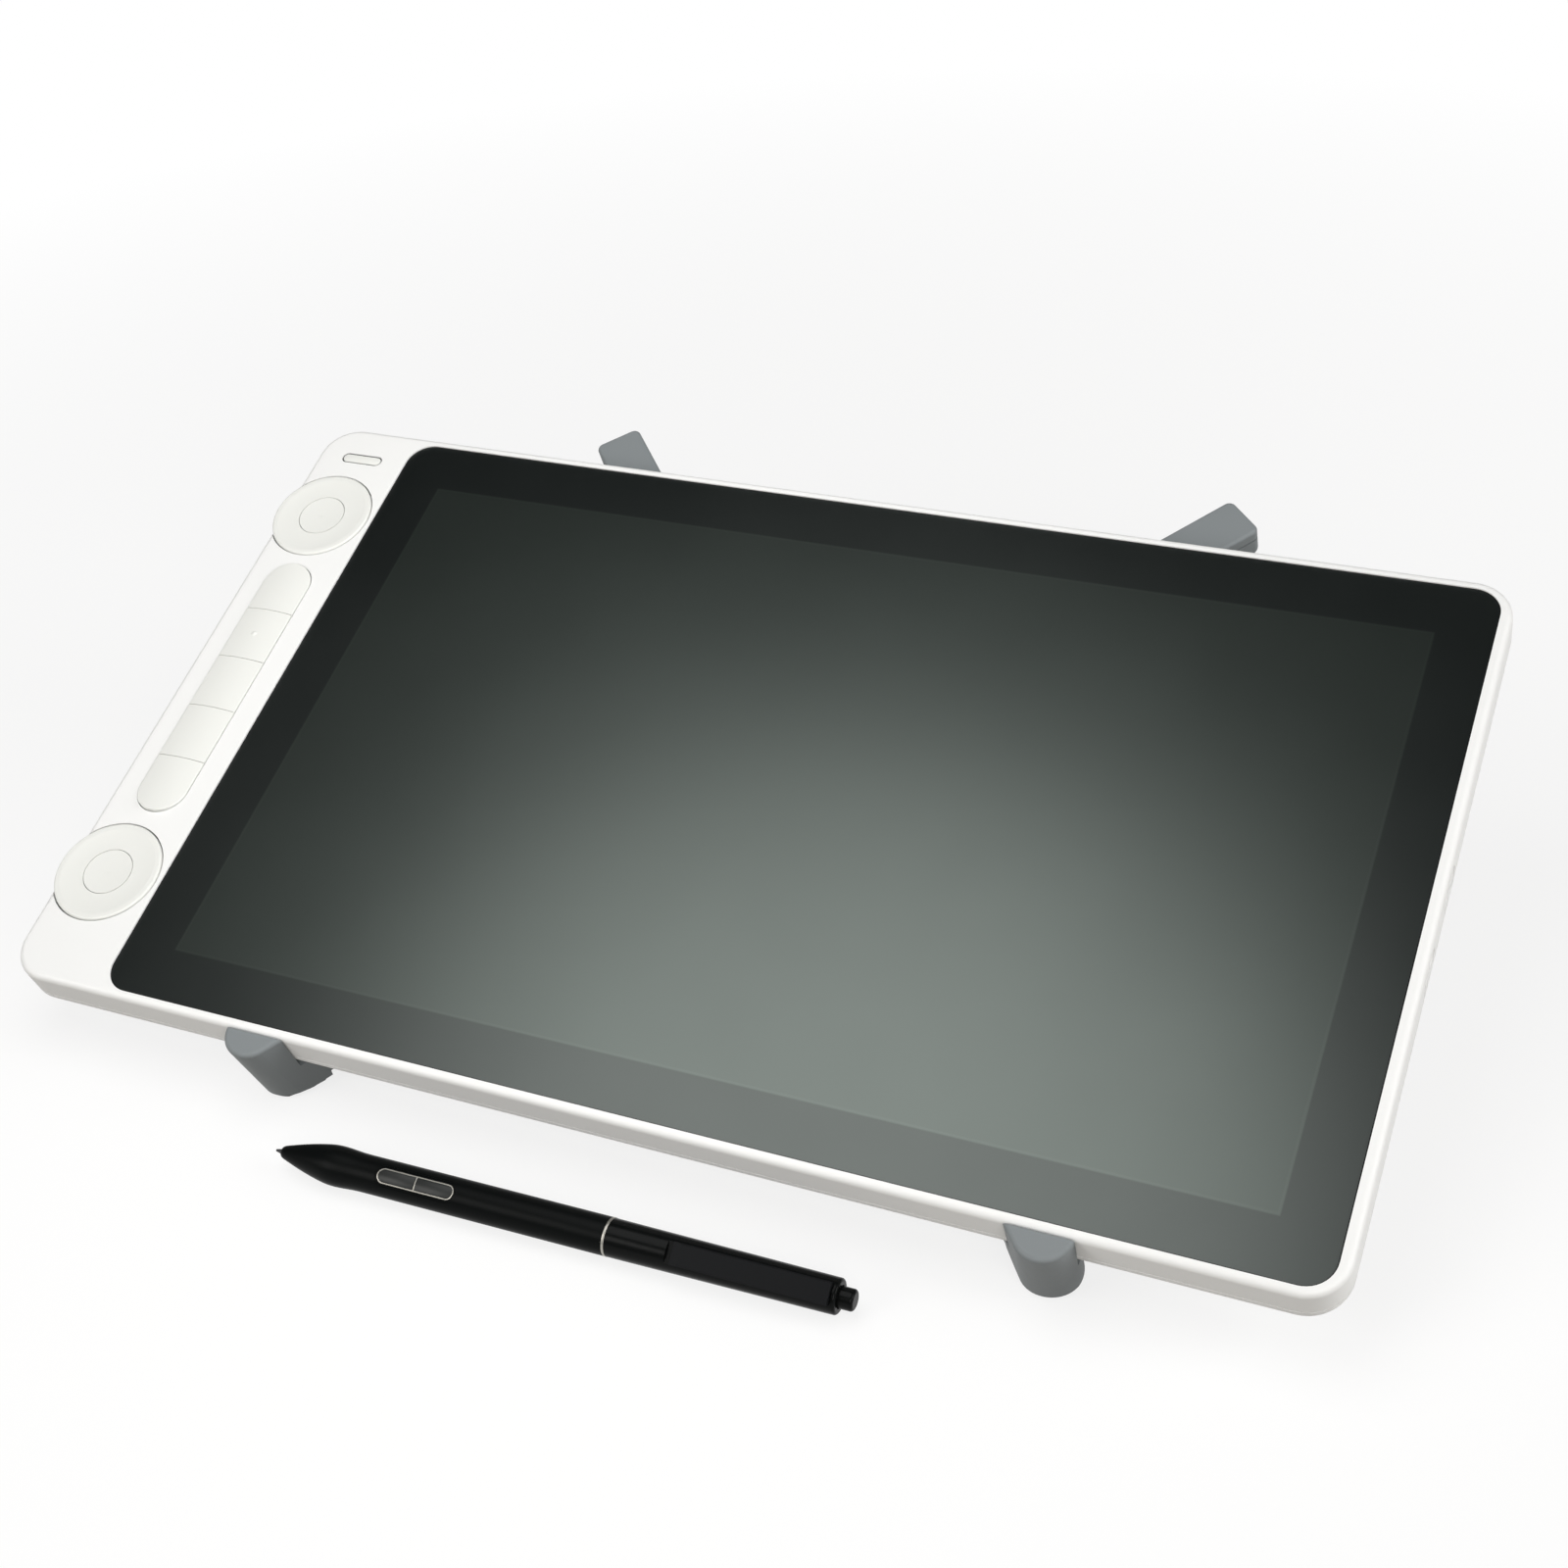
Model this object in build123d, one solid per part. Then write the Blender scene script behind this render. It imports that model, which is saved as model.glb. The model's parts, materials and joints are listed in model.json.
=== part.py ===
from build123d import *
import os
from math import cos, radians, sin

# Graphics tablet with a screen, lying on its crossed folding stand, with its pen in front.
# The tablet is drawn flat: its datum is the middle of the cover glass's top face, +X to the
# right, +Y to the rear, +Z out of the glass. The stand's arms are drawn along X from their
# pivot and share the tablet's Z. The pen is drawn along X from the point of its nib.

overrun = 1.0  # how far a cutting solid runs past the face that it opens

# Cover glass
glass_width = 325.8
glass_depth = 198.3
glass_thickness = 0.8
glass_corner = 7.5
glass_bevel = 0.2
glass_gap = 0.15

# Case
strip_width = 30.9
rim_right = 3.3
rim_front = 2.45
rim_rear = 2.75
rim_step = 0.4
case_thickness = 12.5
case_corner = 11.0
top_edge_round = 1.8
bottom_edge_round = 2.2
side_wall = 2.0
deck_wall = 2.4
floor_wall = 1.5
cover_height = 3.5
lip_height = 1.4
lip_wall = 1.0
lip_gap = 0.1
parting_groove = 0.3

# Display stack behind the glass
module_side_border = 12.9  # from the glass's edge to the display panel's
module_end_border = 12.65
module_gap = 0.5
panel_thickness = 1.6
backlight_thickness = 2.2
sensor_thickness = 0.8
shield_thickness = 0.5
stack_step = 1.0  # the backlight and the sensor board are this much smaller all round
shield_gap = 0.1

# Dials, one above and one below the keys, with a round button in each
dial_inset = 13.4  # from the case's left edge to the dial's axis
dial_rear_inset = 35.6
dial_radius = 15.75
dial_top = 0.8
dial_height = 4.2
dial_gap = 0.4
dial_web = 1.3
dial_skirt = 1.6
dial_dish = 0.45
dial_edge_round = 0.7
dial_rim_flat = 1.1
cup_wall = 1.2
cup_clearance = 0.4
hub_radius = 5.0
hub_fit = 0.07
hub_reach = 0.5
hub_bore = 2.9
dial_button_radius = 7.1
dial_button_gap = 0.2
dial_button_thickness = 1.2
dial_button_stem = 2.3
dial_button_dish = 0.25

# Press keys and power button
key_width = 15.5
key_count = 5
key_dial_gap = 4.85  # from the end of the key row to the dial's edge
key_row_y = 0.5
key_row_inset = 15.45
key_gap = 0.2
key_opening_gap = 0.25
key_shoulder = 0.35  # height of the key's straight side above the deck
key_crown = 0.75
key_edge_round = 0.25
key_flange = 0.8
key_flange_thickness = 0.8
key_flange_gap = 0.2
key_stem = 1.6
key_dot_radius = 0.9
key_dot_height = 0.3
stem_clearance = 0.55
power_length = 15.0
power_width = 4.6
power_inset = 15.2
power_rear_inset = 12.1
power_gap = 0.35
power_proud = 0.1

# Key board with its switches and encoders
board_thickness = 1.0
key_board_depth_z = 7.4  # from the glass's top face down to the board's top face
key_board_width = 25.0
key_board_inset = 16.0
key_board_front_inset = 16.6
key_board_rear_inset = 7.4
board_corner = 1.5
switch_side = 4.5
switch_height = 1.6
plunger_radius = 1.1
plunger_height = 0.5
encoder_radius = 8.0
encoder_bore = 5.3
encoder_height = 2.2
encoder_tab = 3.0
post_radius = 1.6
post_outer_inset = 5.2
post_inner_inset = 26.4
post_dial_gap = 18.7
post_rear_inset = 13.4

# Main board and ports
main_board_width = 70.0
main_board_depth = 84.0
main_board_inset = 3.6
main_board_boss = 2.5
main_board_boss_inset = 5.0
chip_height = 1.2
port_height = 3.26
port_width = 8.94
port_length = 7.6
port_shell = 0.3
port_tongue_width = 6.7
port_tongue_thickness = 0.7
port_tongue_setback = 1.2
port_depth = 6.2
port_z = -5.9
port_places = (-12.5, 11.4)
port_gap = 0.18
port_setback = 0.2
port_recess_width = 12.6
port_recess_height = 5.4
port_recess_depth = 0.6
lip_opening = 46.0

# Display flex
flex_width = 24.0
flex_thickness = 0.2
flex_share = 0.61  # of the main board's width, from its right edge
flex_start_y = 74.0
flex_bend_y = 52.0
flex_land_y = 40.0
flex_end_y = 34.0
key_flex_width = 12.0
key_flex_y = -20.0
key_flex_end = 4.0
key_flex_rise = 24.0

# Rear shell's screws and rubber feet
screw_side_inset = 4.9  # from the glass's edge
screw_end_inset = 5.15
screw_post = 2.6
screw_shaft = 1.0
screw_fit = 0.02
screw_length = 6.0
screw_head = 2.0
screw_head_height = 0.8
screw_head_recess = 0.9
screw_head_gap = 0.2
screw_cross = 2.4
screw_cross_width = 0.5
screw_cross_depth = 0.35
foot_strip_share = 0.111  # of the case's width
foot_strip_width = 8.0
foot_strip_inset = 0.6
foot_strip_proud = 1.0
foot_strip_bevel = 0.4
foot_strip_left_gap = 23.8  # from the case's left edge to the strip's end
foot_strip_right_gap = 12.0
foot_strip_end_inset = 15.9

# Stand: two crossed arms under the tablet
tilt = 20.0
front_height = 12.6  # from the table to the case's bottom front edge
pivot_x = -9.15
pivot_y = 16.2
arm_a_angle = 41.6  # between the arm from front left to rear right and the tablet's fore-and-aft line
arm_b_angle = 42.6  # the same for the crossing arm
arm_width = 14.1
arm_drop = 1.2  # from the case's underside to the arm's top face
arm_thickness = 10.6
arm_rear = 146.6
arm_corner = 2.2
arm_edge_round = 1.0
arm_tip_round = 3.0
groove_drop = 3.2
groove_height = 0.5
groove_depth = 0.5
hook_top = rim_step
hook_root = 11.4  # these lengths run rearwards from where the arm's middle line meets the case's front
hook_radius = 7.4
hook_foot_setback = 2.0
hook_foot_radius = 7.8
hook_edge_round = 1.1
seat_gap = 0.2
hook_pad_thickness = 0.8
hook_pad_proud = 0.1
hook_pad_fit = 0.02
hook_pad_width = 12.0
hook_pad_height = 7.0
hook_pad_drop = 3.0  # from the hook's top to the pad's upper edge
hook_pad_corner = 1.2
sole_thickness = 1.2
sole_inset = 0.5
sole_root = 9.0
strip_pad_width = 7.0
strip_pad_inset = 0.5
strip_pad_bevel = 0.3
rear_pad_setback = 44.5  # from the arm's rear end
rear_pad_length = 40.0
front_pad_setback = 20.0
front_pad_length = 30.0

# Crossing of the arms
lap_half = 30.0
lap_gap = 0.2
boss_radius = 12.0
pin_radius = 3.0
pin_fixed_fit = 0.02
pin_running_fit = 0.06
pin_head_radius = 5.0
pin_head_height = 1.4
pin_head_gap = 0.2
pin_cap_height = 1.0
pin_cap_bevel = 0.3

# Fold-out rear legs
channel_width = 9.2
channel_from = 35.0
leg_width = 8.6
leg_thickness = 6.2
leg_hinge_inset = 26.7  # from the arm's rear end
leg_hinge_drop = 7.3  # from the arm's top face down to the hinge axis
leg_stop_gap = 0.15
leg_roof_gap = 0.2
leg_pin_radius = 1.5
leg_pin_fit = 0.02
leg_pin_running_fit = 0.06
leg_pin_recess = 0.2
leg_groove_width = 4.6
leg_groove_depth = 1.4
leg_groove_from = 14.0
leg_groove_to = 66.0
leg_foot_height = 2.4
scoop_s = 45.0
scoop_radius = 6.5
scoop_drop = 3.0

# Pen
nib_radius = 0.85
nib_point_radius = 0.35
nib_taper = 2.6
nib_length = 15.0
nib_gap = 0.1
grip_start = 2.1
grip_end = 93.8
ring_length = 1.1
rear_length = 58.7
grip_mouth_radius = 1.45
swell_radius = 5.15
waist_radius = 4.75
barrel_radius = 4.7
barrel_end_radius = 4.35
barrel_end_bevel = 0.7
swell_from = 16.5
swell_to = 19.0
waist_from = 26.0
nose_share = 0.64  # of the swelling's radius, half-way along the nose
bore_radius = 3.5
bore_start = 14.0
spigot_radius = 4.1
spigot_length = 5.0
spigot_fit = 0.02
pill_from = 32.1
pill_length = 21.4
pill_width = 3.8
pill_gap = 0.15
pill_frame = 0.4
pill_floor = 3.2
pill_top = 4.95
pill_dish_margin = 0.75  # of the shallow hollow round the side buttons
pill_dish_radius = 4.62
side_button_proud = 0.1
side_button_gap = 0.12
side_button_clearance = 0.45
clip_setback = 1.4
clip_length = 39.9
clip_width = 5.6
clip_thickness = 1.1
clip_seat = 3.75
clip_lift = 0.3
clip_root = 6.0
clip_bevel = 0.35
clip_nose = 2.4
clip_end_gap = 0.3
clip_front_gap = 1.6
end_button_radius = 2.65
end_button_proud = 3.7
end_button_gap = 0.2
end_button_inside = 3.0
end_button_round = 0.8
end_button_stem_radius = 1.7
end_button_stem = 6.0
end_button_travel = 0.8
end_wall = 1.6
core_front = 16.0
core_coil_end = 27.5
core_gap = 5.8  # from the board's end to the grip's
core_board_width = 6.2
core_board_thickness = 1.0
core_radius = 3.3
pen_roll = 39.5  # the pen's clip faces up and to the front
side_button_turn = -6.0  # about the pen's axis, from the clip to the side buttons
pen_turn = 0.78  # about the vertical
pen_nib_x = -97.55
pen_forward = 23.57  # from the case's bottom front edge to the nib's point, along the table

# Worked out from the sizes above
case_left = -glass_width / 2 - strip_width
case_right = glass_width / 2 + rim_right
case_front = -glass_depth / 2 - rim_front
case_back = glass_depth / 2 + rim_rear
case_width = case_right - case_left
case_depth = case_back - case_front
case_x = (case_left + case_right) / 2
case_y = (case_front + case_back) / 2
case_low = rim_step - case_thickness
parting = case_low + cover_height
deck_under = rim_step - deck_wall
module_width = glass_width - 2 * module_side_border
module_depth = glass_depth - 2 * module_end_border
dial_x = case_left + dial_inset
dial_y = case_back - dial_rear_inset
key_row_length = 2 * (dial_y - dial_radius - key_dial_gap)
key_pitch = key_row_length / key_count
key_row_x = case_left + key_row_inset
power_x = case_left + power_inset
power_y = case_back - power_rear_inset
key_board_x = case_left + key_board_inset
key_board_front = case_front + key_board_front_inset
key_board_rear = case_back - key_board_rear_inset
post_outer_x = case_left + post_outer_inset
post_inner_x = case_left + post_inner_inset
post_near_y = dial_y - post_dial_gap
post_far_y = case_back - post_rear_inset
main_board_right = case_right - main_board_inset
flex_x = main_board_right - flex_share * main_board_width
screw_x = glass_width / 2 - screw_side_inset
screw_y = glass_depth / 2 - screw_end_inset
foot_strip_length = foot_strip_share * case_width
foot_strip_xs = (
    case_left + foot_strip_left_gap + foot_strip_length / 2,
    case_right - foot_strip_right_gap - foot_strip_length / 2,
)
foot_strip_y = case_back - foot_strip_end_inset
floor_top = case_low + floor_wall
key_board_top = -key_board_depth_z
plunger_top = key_board_top + switch_height + plunger_height
stem_end = plunger_top + stem_clearance
dial_bottom = dial_top - dial_height
cup_floor = dial_bottom - cup_clearance
cup_under = cup_floor - cup_wall
main_board_top = port_z - port_height / 2
stack_bottom = -glass_thickness - panel_thickness - backlight_thickness - sensor_thickness - shield_thickness
port_mouth = case_right - port_recess_depth - port_setback
arm_top = case_low - arm_drop
arm_low = arm_top - arm_thickness
arm_sin = sin(radians(arm_a_angle))
arm_cos = cos(radians(arm_a_angle))
leg_hinge_s = arm_rear - leg_hinge_inset
tilt_sin = sin(radians(tilt))
tilt_cos = cos(radians(tilt))
hook_face = case_front - seat_gap - hook_pad_proud
leg_hinge_z = arm_top - leg_hinge_drop
leg_half = leg_thickness / 2
strip_pad_top = case_low - seat_gap
lap_middle = (arm_top + arm_low) / 2
sole_low = arm_low - sole_thickness
ring_end = grip_end + ring_length
rear_end = ring_end + rear_length
pen_length = rear_end + end_button_proud
clip_to = rear_end - clip_setback
clip_from = clip_to - clip_length
core_end = grip_end - core_gap

# Place of the tilted tablet over the table, with the origin under the middle of the whole set
rise = front_height - case_front * tilt_sin - case_low * tilt_cos
front_edge_y = case_front * tilt_cos - case_low * tilt_sin
leg_hinge_y = pivot_y + leg_hinge_s * arm_cos
leg_foot_y = leg_hinge_y * tilt_cos - leg_hinge_z * tilt_sin
leg_hinge_height = leg_hinge_y * tilt_sin + leg_hinge_z * tilt_cos + rise
leg_half_depth = leg_half * arm_cos + leg_width / 2 * arm_sin
rear_most = leg_foot_y + leg_hinge_height * tilt_sin / tilt_cos + leg_half_depth / tilt_cos
front_most = front_edge_y - pen_forward + swell_from * sin(radians(pen_turn)) - swell_radius
shift_x = -(dial_x - dial_radius + case_right) / 2
shift_y = -(rear_most + front_most) / 2


def block(width, depth, low, high, x=0, y=0, corner=0):
    outline = RectangleRounded(width, depth, corner) if corner else Rectangle(width, depth)
    return Pos(x, y, low) * extrude(outline, high - low)


def disc(radius, low, high, x=0, y=0):
    return Pos(x, y, low) * extrude(Circle(radius), high - low)


def slot(length, width, low, high, x=0, y=0):
    return Pos(x, y, low) * extrude(SlotOverall(length, width), high - low)


def upright_slot(length, width, low, high, x=0, y=0):
    return Pos(x, y, low) * extrude(SlotOverall(length, width, rotation=90), high - low)


def rod(radius, start, end, y=0, z=0):
    """Round bar along X."""
    return Pos(start, y, z) * Rot(0, 90, 0) * extrude(Circle(radius), end - start)


def table_slab(low, high):
    """Level slab under the whole set, between two heights over the table."""
    return Pos(0, 0, (low + high) / 2) * Box(2 * case_width, 2 * case_width, high - low)


def set_of(shapes):
    return Compound(children=[solid for shape in shapes for solid in shape.solids()])


def on_tablet(shape):
    return Pos(shift_x, shift_y, rise) * Rot(tilt, 0, 0) * shape


def port_slot(width, height, start, end, y):
    """Rounded flat opening of a port, running along X."""
    outline = SlotOverall(width, height)
    return Pos(start, y, port_z) * Rot(0, 90, 0) * Rot(0, 0, 90) * extrude(outline, end - start)


# Case front, with the glass seat, the dial cups and the key openings

post_places = [(post_outer_x, -post_near_y), (post_outer_x, post_near_y)] + [
    (post_inner_x, y) for y in (-post_near_y, post_near_y, post_far_y)
]
screw_places = [(x, y) for x in (-screw_x, 0, screw_x) for y in (-screw_y, screw_y)]


def dial_cup(y):
    inside = block(case_width - side_wall, case_depth - side_wall, cup_under, deck_under, case_x, case_y)
    cup = disc(dial_radius + dial_gap + cup_wall, cup_under, deck_under, dial_x, y)
    return cup & inside


def dial_recess(y):
    recess = disc(dial_radius + dial_gap, cup_floor, rim_step + overrun, dial_x, y)
    bore = disc(hub_radius + hub_fit, cup_under - overrun, cup_floor, dial_x, y)
    return recess + bore


def front_housing():
    shell = block(case_width, case_depth, parting, rim_step, case_x, case_y, case_corner)
    shell = fillet(shell.faces().sort_by(Axis.Z)[-1].edges(), top_edge_round)
    shell -= block(
        case_width - 2 * side_wall,
        case_depth - 2 * side_wall,
        parting,
        deck_under,
        case_x,
        case_y,
        case_corner - side_wall,
    )
    for y in (-dial_y, dial_y):
        shell += dial_cup(y)
        shell -= dial_recess(y)
    shell -= block(
        glass_width + 2 * glass_gap,
        glass_depth + 2 * glass_gap,
        -glass_thickness,
        rim_step + overrun,
        corner=glass_corner + glass_gap,
    )
    shell -= block(
        module_width + 2 * module_gap,
        module_depth + 2 * module_gap,
        deck_under - overrun,
        -glass_thickness,
    )
    shell -= upright_slot(
        key_row_length + 2 * key_opening_gap,
        key_width + 2 * key_opening_gap,
        deck_under - overrun,
        rim_step + overrun,
        key_row_x,
        key_row_y,
    )
    shell -= slot(
        power_length + 2 * power_gap,
        power_width + 2 * power_gap,
        deck_under - overrun,
        rim_step + overrun,
        power_x,
        power_y,
    )
    shell += [disc(post_radius, key_board_top, deck_under, x, y) for x, y in post_places]
    for x, y in screw_places:
        shell += disc(screw_post, floor_top, deck_under, x, y)
        shell -= disc(screw_shaft + screw_fit, floor_top, floor_top + screw_length, x, y)
    for y in port_places:
        shell -= port_slot(
            port_recess_width, port_recess_height, case_right - port_recess_depth, case_right + overrun, y
        )
        shell -= port_slot(
            port_width + 2 * port_gap,
            port_height + 2 * port_gap,
            case_right - side_wall - overrun,
            case_right + overrun,
            y,
        )
    return shell


def foot_strip_places():
    return [(x, y) for x in foot_strip_xs for y in (-foot_strip_y, foot_strip_y)]


def rear_cover():
    pan = block(case_width, case_depth, case_low, parting, case_x, case_y, case_corner)
    pan = fillet(pan.faces().sort_by(Axis.Z)[0].edges(), bottom_edge_round)
    pan -= block(
        case_width - 2 * side_wall,
        case_depth - 2 * side_wall,
        floor_top,
        parting,
        case_x,
        case_y,
        case_corner - side_wall,
    )
    groove = block(case_width, case_depth, parting - parting_groove, parting, case_x, case_y, case_corner)
    groove -= block(
        case_width - 2 * parting_groove,
        case_depth - 2 * parting_groove,
        parting - parting_groove,
        parting,
        case_x,
        case_y,
        case_corner - parting_groove,
    )
    pan -= groove
    reach = side_wall + lip_gap
    lip = block(
        case_width - 2 * reach,
        case_depth - 2 * reach,
        floor_top,
        parting + lip_height,
        case_x,
        case_y,
        case_corner - reach,
    )
    lip -= block(
        case_width - 2 * reach - 2 * lip_wall,
        case_depth - 2 * reach - 2 * lip_wall,
        floor_top,
        parting + lip_height,
        case_x,
        case_y,
        case_corner - reach - lip_wall,
    )
    middle = sum(port_places) / len(port_places)
    lip -= block(lip_opening, lip_opening, parting, parting + lip_height, case_right, middle)
    pan += lip
    for x, y in main_board_corners():
        pan += disc(main_board_boss, floor_top, main_board_top - board_thickness, x, y)
    for x, y in screw_places:
        pan -= disc(screw_shaft + screw_head_gap, case_low, floor_top, x, y)
        pan -= disc(screw_head + screw_head_gap, case_low, case_low + screw_head_recess, x, y)
    for x, y in foot_strip_places():
        pan -= slot(foot_strip_length, foot_strip_width, case_low, case_low + foot_strip_inset, x, y)
    return pan


def rear_feet():
    feet = []
    for x, y in foot_strip_places():
        foot = slot(
            foot_strip_length,
            foot_strip_width,
            case_low - foot_strip_proud,
            case_low + foot_strip_inset,
            x,
            y,
        )
        feet.append(chamfer(foot.faces().sort_by(Axis.Z)[0].edges(), foot_strip_bevel))
    return set_of(feet)


def cover_screws():
    head_low = case_low + screw_head_recess - screw_head_height
    screws = []
    for x, y in screw_places:
        screw = disc(screw_head, head_low, case_low + screw_head_recess, x, y)
        screw += disc(screw_shaft, head_low, floor_top + screw_length - screw_head_gap, x, y)
        screw -= block(screw_cross, screw_cross_width, head_low, head_low + screw_cross_depth, x, y)
        screw -= block(screw_cross_width, screw_cross, head_low, head_low + screw_cross_depth, x, y)
        screws.append(screw)
    return set_of(screws)


# Display stack


def cover_glass():
    sheet = block(glass_width, glass_depth, -glass_thickness, 0, corner=glass_corner)
    return chamfer(sheet.faces().sort_by(Axis.Z)[-1].edges(), glass_bevel)


def layer(inset, high, thickness):
    return block(module_width - 2 * inset, module_depth - 2 * inset, high - thickness, high)


def display_panel():
    return layer(0, -glass_thickness, panel_thickness)


def backlight_unit():
    return layer(stack_step, -glass_thickness - panel_thickness, backlight_thickness)


def pen_sensor_board():
    return layer(stack_step, stack_bottom + shield_thickness + sensor_thickness, sensor_thickness)


def shield_plate():
    """Stamped tray that wraps the backlight and the sensor board and meets the panel's back."""
    high = -glass_thickness - panel_thickness
    tray = layer(0, high, high - stack_bottom)
    return tray - layer(stack_step - shield_gap, high, high - stack_bottom - shield_thickness)


# Dials and their buttons


def dial_ring():
    """Turned section of a dial, in radius and height, revolved about its axis."""
    hole = dial_button_radius + dial_button_gap
    rim = dial_radius - dial_edge_round
    flat = rim - dial_rim_flat
    dish_low = dial_top - dial_dish
    hub_low = cup_under - hub_reach
    web_low = dish_low - dial_button_thickness - stem_clearance - dial_web
    section = make_face(
        Line((hole, dish_low), (hole, web_low + dial_web))
        + Line((hole, web_low + dial_web), (hub_bore, web_low + dial_web))
        + Line((hub_bore, web_low + dial_web), (hub_bore, hub_low))
        + Line((hub_bore, hub_low), (hub_radius, hub_low))
        + Line((hub_radius, hub_low), (hub_radius, web_low))
        + Line((hub_radius, web_low), (dial_radius - dial_skirt, web_low))
        + Line((dial_radius - dial_skirt, web_low), (dial_radius - dial_skirt, dial_bottom))
        + Line((dial_radius - dial_skirt, dial_bottom), (dial_radius, dial_bottom))
        + Line((dial_radius, dial_bottom), (dial_radius, dial_top - dial_edge_round))
        + RadiusArc((dial_radius, dial_top - dial_edge_round), (rim, dial_top), -dial_edge_round)
        + Line((rim, dial_top), (flat, dial_top))
        + ThreePointArc(
            (flat, dial_top),
            ((flat + hole) / 2, (dial_top + dish_low) / 2 - dial_dish / 4),
            (hole, dish_low),
        )
    )
    return revolve(Rot(90, 0, 0) * section, Axis.Z)


def dial_button():
    """Round button in the dial's middle, dished to carry on the dial's own curve."""
    top = dial_top - dial_dish
    button = disc(dial_button_radius, top - dial_button_thickness, top)
    button += disc(dial_button_stem, stem_end, top - dial_button_thickness)
    bowl_radius = (dial_button_radius**2 + dial_button_dish**2) / (2 * dial_button_dish)
    return button - Pos(0, 0, top - dial_button_dish + bowl_radius) * Sphere(bowl_radius)


# Keys and power button


def key_row():
    """One crowned strip the length of the row, rounded at its ends, that is cut into the keys."""
    half = key_width / 2
    shoulder = rim_step + key_shoulder
    low = deck_under - key_flange_gap - key_flange_thickness
    section = make_face(
        Line((-half, low), (half, low))
        + Line((half, low), (half, shoulder))
        + ThreePointArc((half, shoulder), (0, shoulder + key_crown), (-half, shoulder))
        + Line((-half, shoulder), (-half, low))
    )
    strip = extrude(Rot(90, 0, 0) * section, key_row_length / 2, both=True)
    strip &= upright_slot(key_row_length, key_width, low, shoulder + key_crown + overrun)
    high_edges = strip.edges().filter_by(lambda edge: edge.center().Z > rim_step)
    return fillet(high_edges, key_edge_round)


def express_key(row, place):
    y = (place - (key_count - 1) / 2) * key_pitch
    low = deck_under - key_flange_gap - key_flange_thickness
    crest = rim_step + key_shoulder + key_crown
    cell = block(key_width + overrun, key_pitch - key_gap, low, crest + overrun, y=y)
    key = row & cell
    flange_width = key_width + 2 * key_opening_gap + 2 * key_flange
    key += block(flange_width, key_pitch - 2 * key_flange, low, low + key_flange_thickness, y=y)
    key += disc(key_stem, stem_end, low, y=y)
    if place == key_count - 2:
        cap_radius = (key_dot_radius**2 + key_dot_height**2) / (2 * key_dot_height)
        dot = Pos(0, y, crest + key_dot_height - cap_radius) * Sphere(cap_radius)
        dot_side = 2 * key_dot_radius
        key += dot & block(dot_side, dot_side, crest - key_dot_height, crest + overrun, y=y)
    return Pos(key_row_x, key_row_y, 0) * key


def power_button():
    top = rim_step + power_proud
    low = deck_under - key_flange_gap - key_flange_thickness
    cap = slot(power_length, power_width, low, top)
    cap = fillet(cap.faces().sort_by(Axis.Z)[-1].edges(), key_edge_round)
    flange_width = power_width + 2 * power_gap + 2 * key_flange
    cap += block(power_length - power_width, flange_width, low, low + key_flange_thickness)
    cap += disc(key_stem, stem_end, low)
    return Pos(power_x, power_y, 0) * cap


# Boards


def switch_places():
    keys = [
        (key_row_x, key_row_y + (place - (key_count - 1) / 2) * key_pitch) for place in range(key_count)
    ]
    return keys + [(dial_x, -dial_y), (dial_x, dial_y), (power_x, power_y)]


def key_board():
    middle = (key_board_front + key_board_rear) / 2
    return block(
        key_board_width,
        key_board_rear - key_board_front,
        key_board_top - board_thickness,
        key_board_top,
        key_board_x,
        middle,
        board_corner,
    )


def button_switches():
    switches = []
    for x, y in switch_places():
        body = block(switch_side, switch_side, key_board_top, key_board_top + switch_height, x, y)
        switches.append(body + disc(plunger_radius, key_board_top + switch_height, plunger_top, x, y))
    return set_of(switches)


def dial_encoders():
    encoders = []
    for y in (-dial_y, dial_y):
        high = key_board_top + encoder_height
        ring = disc(encoder_radius, key_board_top, high, dial_x, y)
        tab_top = high - encoder_height / 2
        ring += block(encoder_tab, 2 * encoder_radius + encoder_tab, key_board_top, tab_top, dial_x, y)
        encoders.append(ring - disc(encoder_bore, key_board_top, high, dial_x, y))
    return set_of(encoders)


def main_board_corners():
    half = main_board_depth / 2 - main_board_boss_inset
    left = main_board_right - main_board_width + main_board_boss_inset
    right = main_board_right - main_board_boss_inset
    return [(x, y) for x in (left, right) for y in (-half, half)]


# Chips as shares of the board: place across, place along, size across, size along, height
chip_shares = (
    (0.45, 0.52, 0.20, 0.17, 1.0),
    (0.22, 0.16, 0.12, 0.10, 0.8),
    (0.22, 0.68, 0.10, 0.12, 0.9),
    (0.60, 0.22, 0.10, 0.07, 0.8),
)


def main_board():
    left = main_board_right - main_board_width
    front = -main_board_depth / 2
    board = block(
        main_board_width,
        main_board_depth,
        main_board_top - board_thickness,
        main_board_top,
        left + main_board_width / 2,
        0,
        board_corner,
    )
    for across, along, wide, deep, high in chip_shares:
        board += block(
            wide * main_board_width,
            deep * main_board_depth,
            main_board_top,
            main_board_top + high * chip_height,
            left + across * main_board_width,
            front + along * main_board_depth,
        )
    return board


def usb_ports():
    ports = []
    for y in port_places:
        start = port_mouth - port_length
        shell = port_slot(port_width, port_height, start, port_mouth, y)
        shell -= port_slot(
            port_width - 2 * port_shell, port_height - 2 * port_shell, port_mouth - port_depth, port_mouth, y
        )
        tongue = Pos(port_mouth - port_depth / 2 - port_tongue_setback / 2, y, port_z) * Box(
            port_depth - port_tongue_setback, port_tongue_width, port_tongue_thickness
        )
        ports.append(shell + tongue)
    return set_of(ports)


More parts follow.
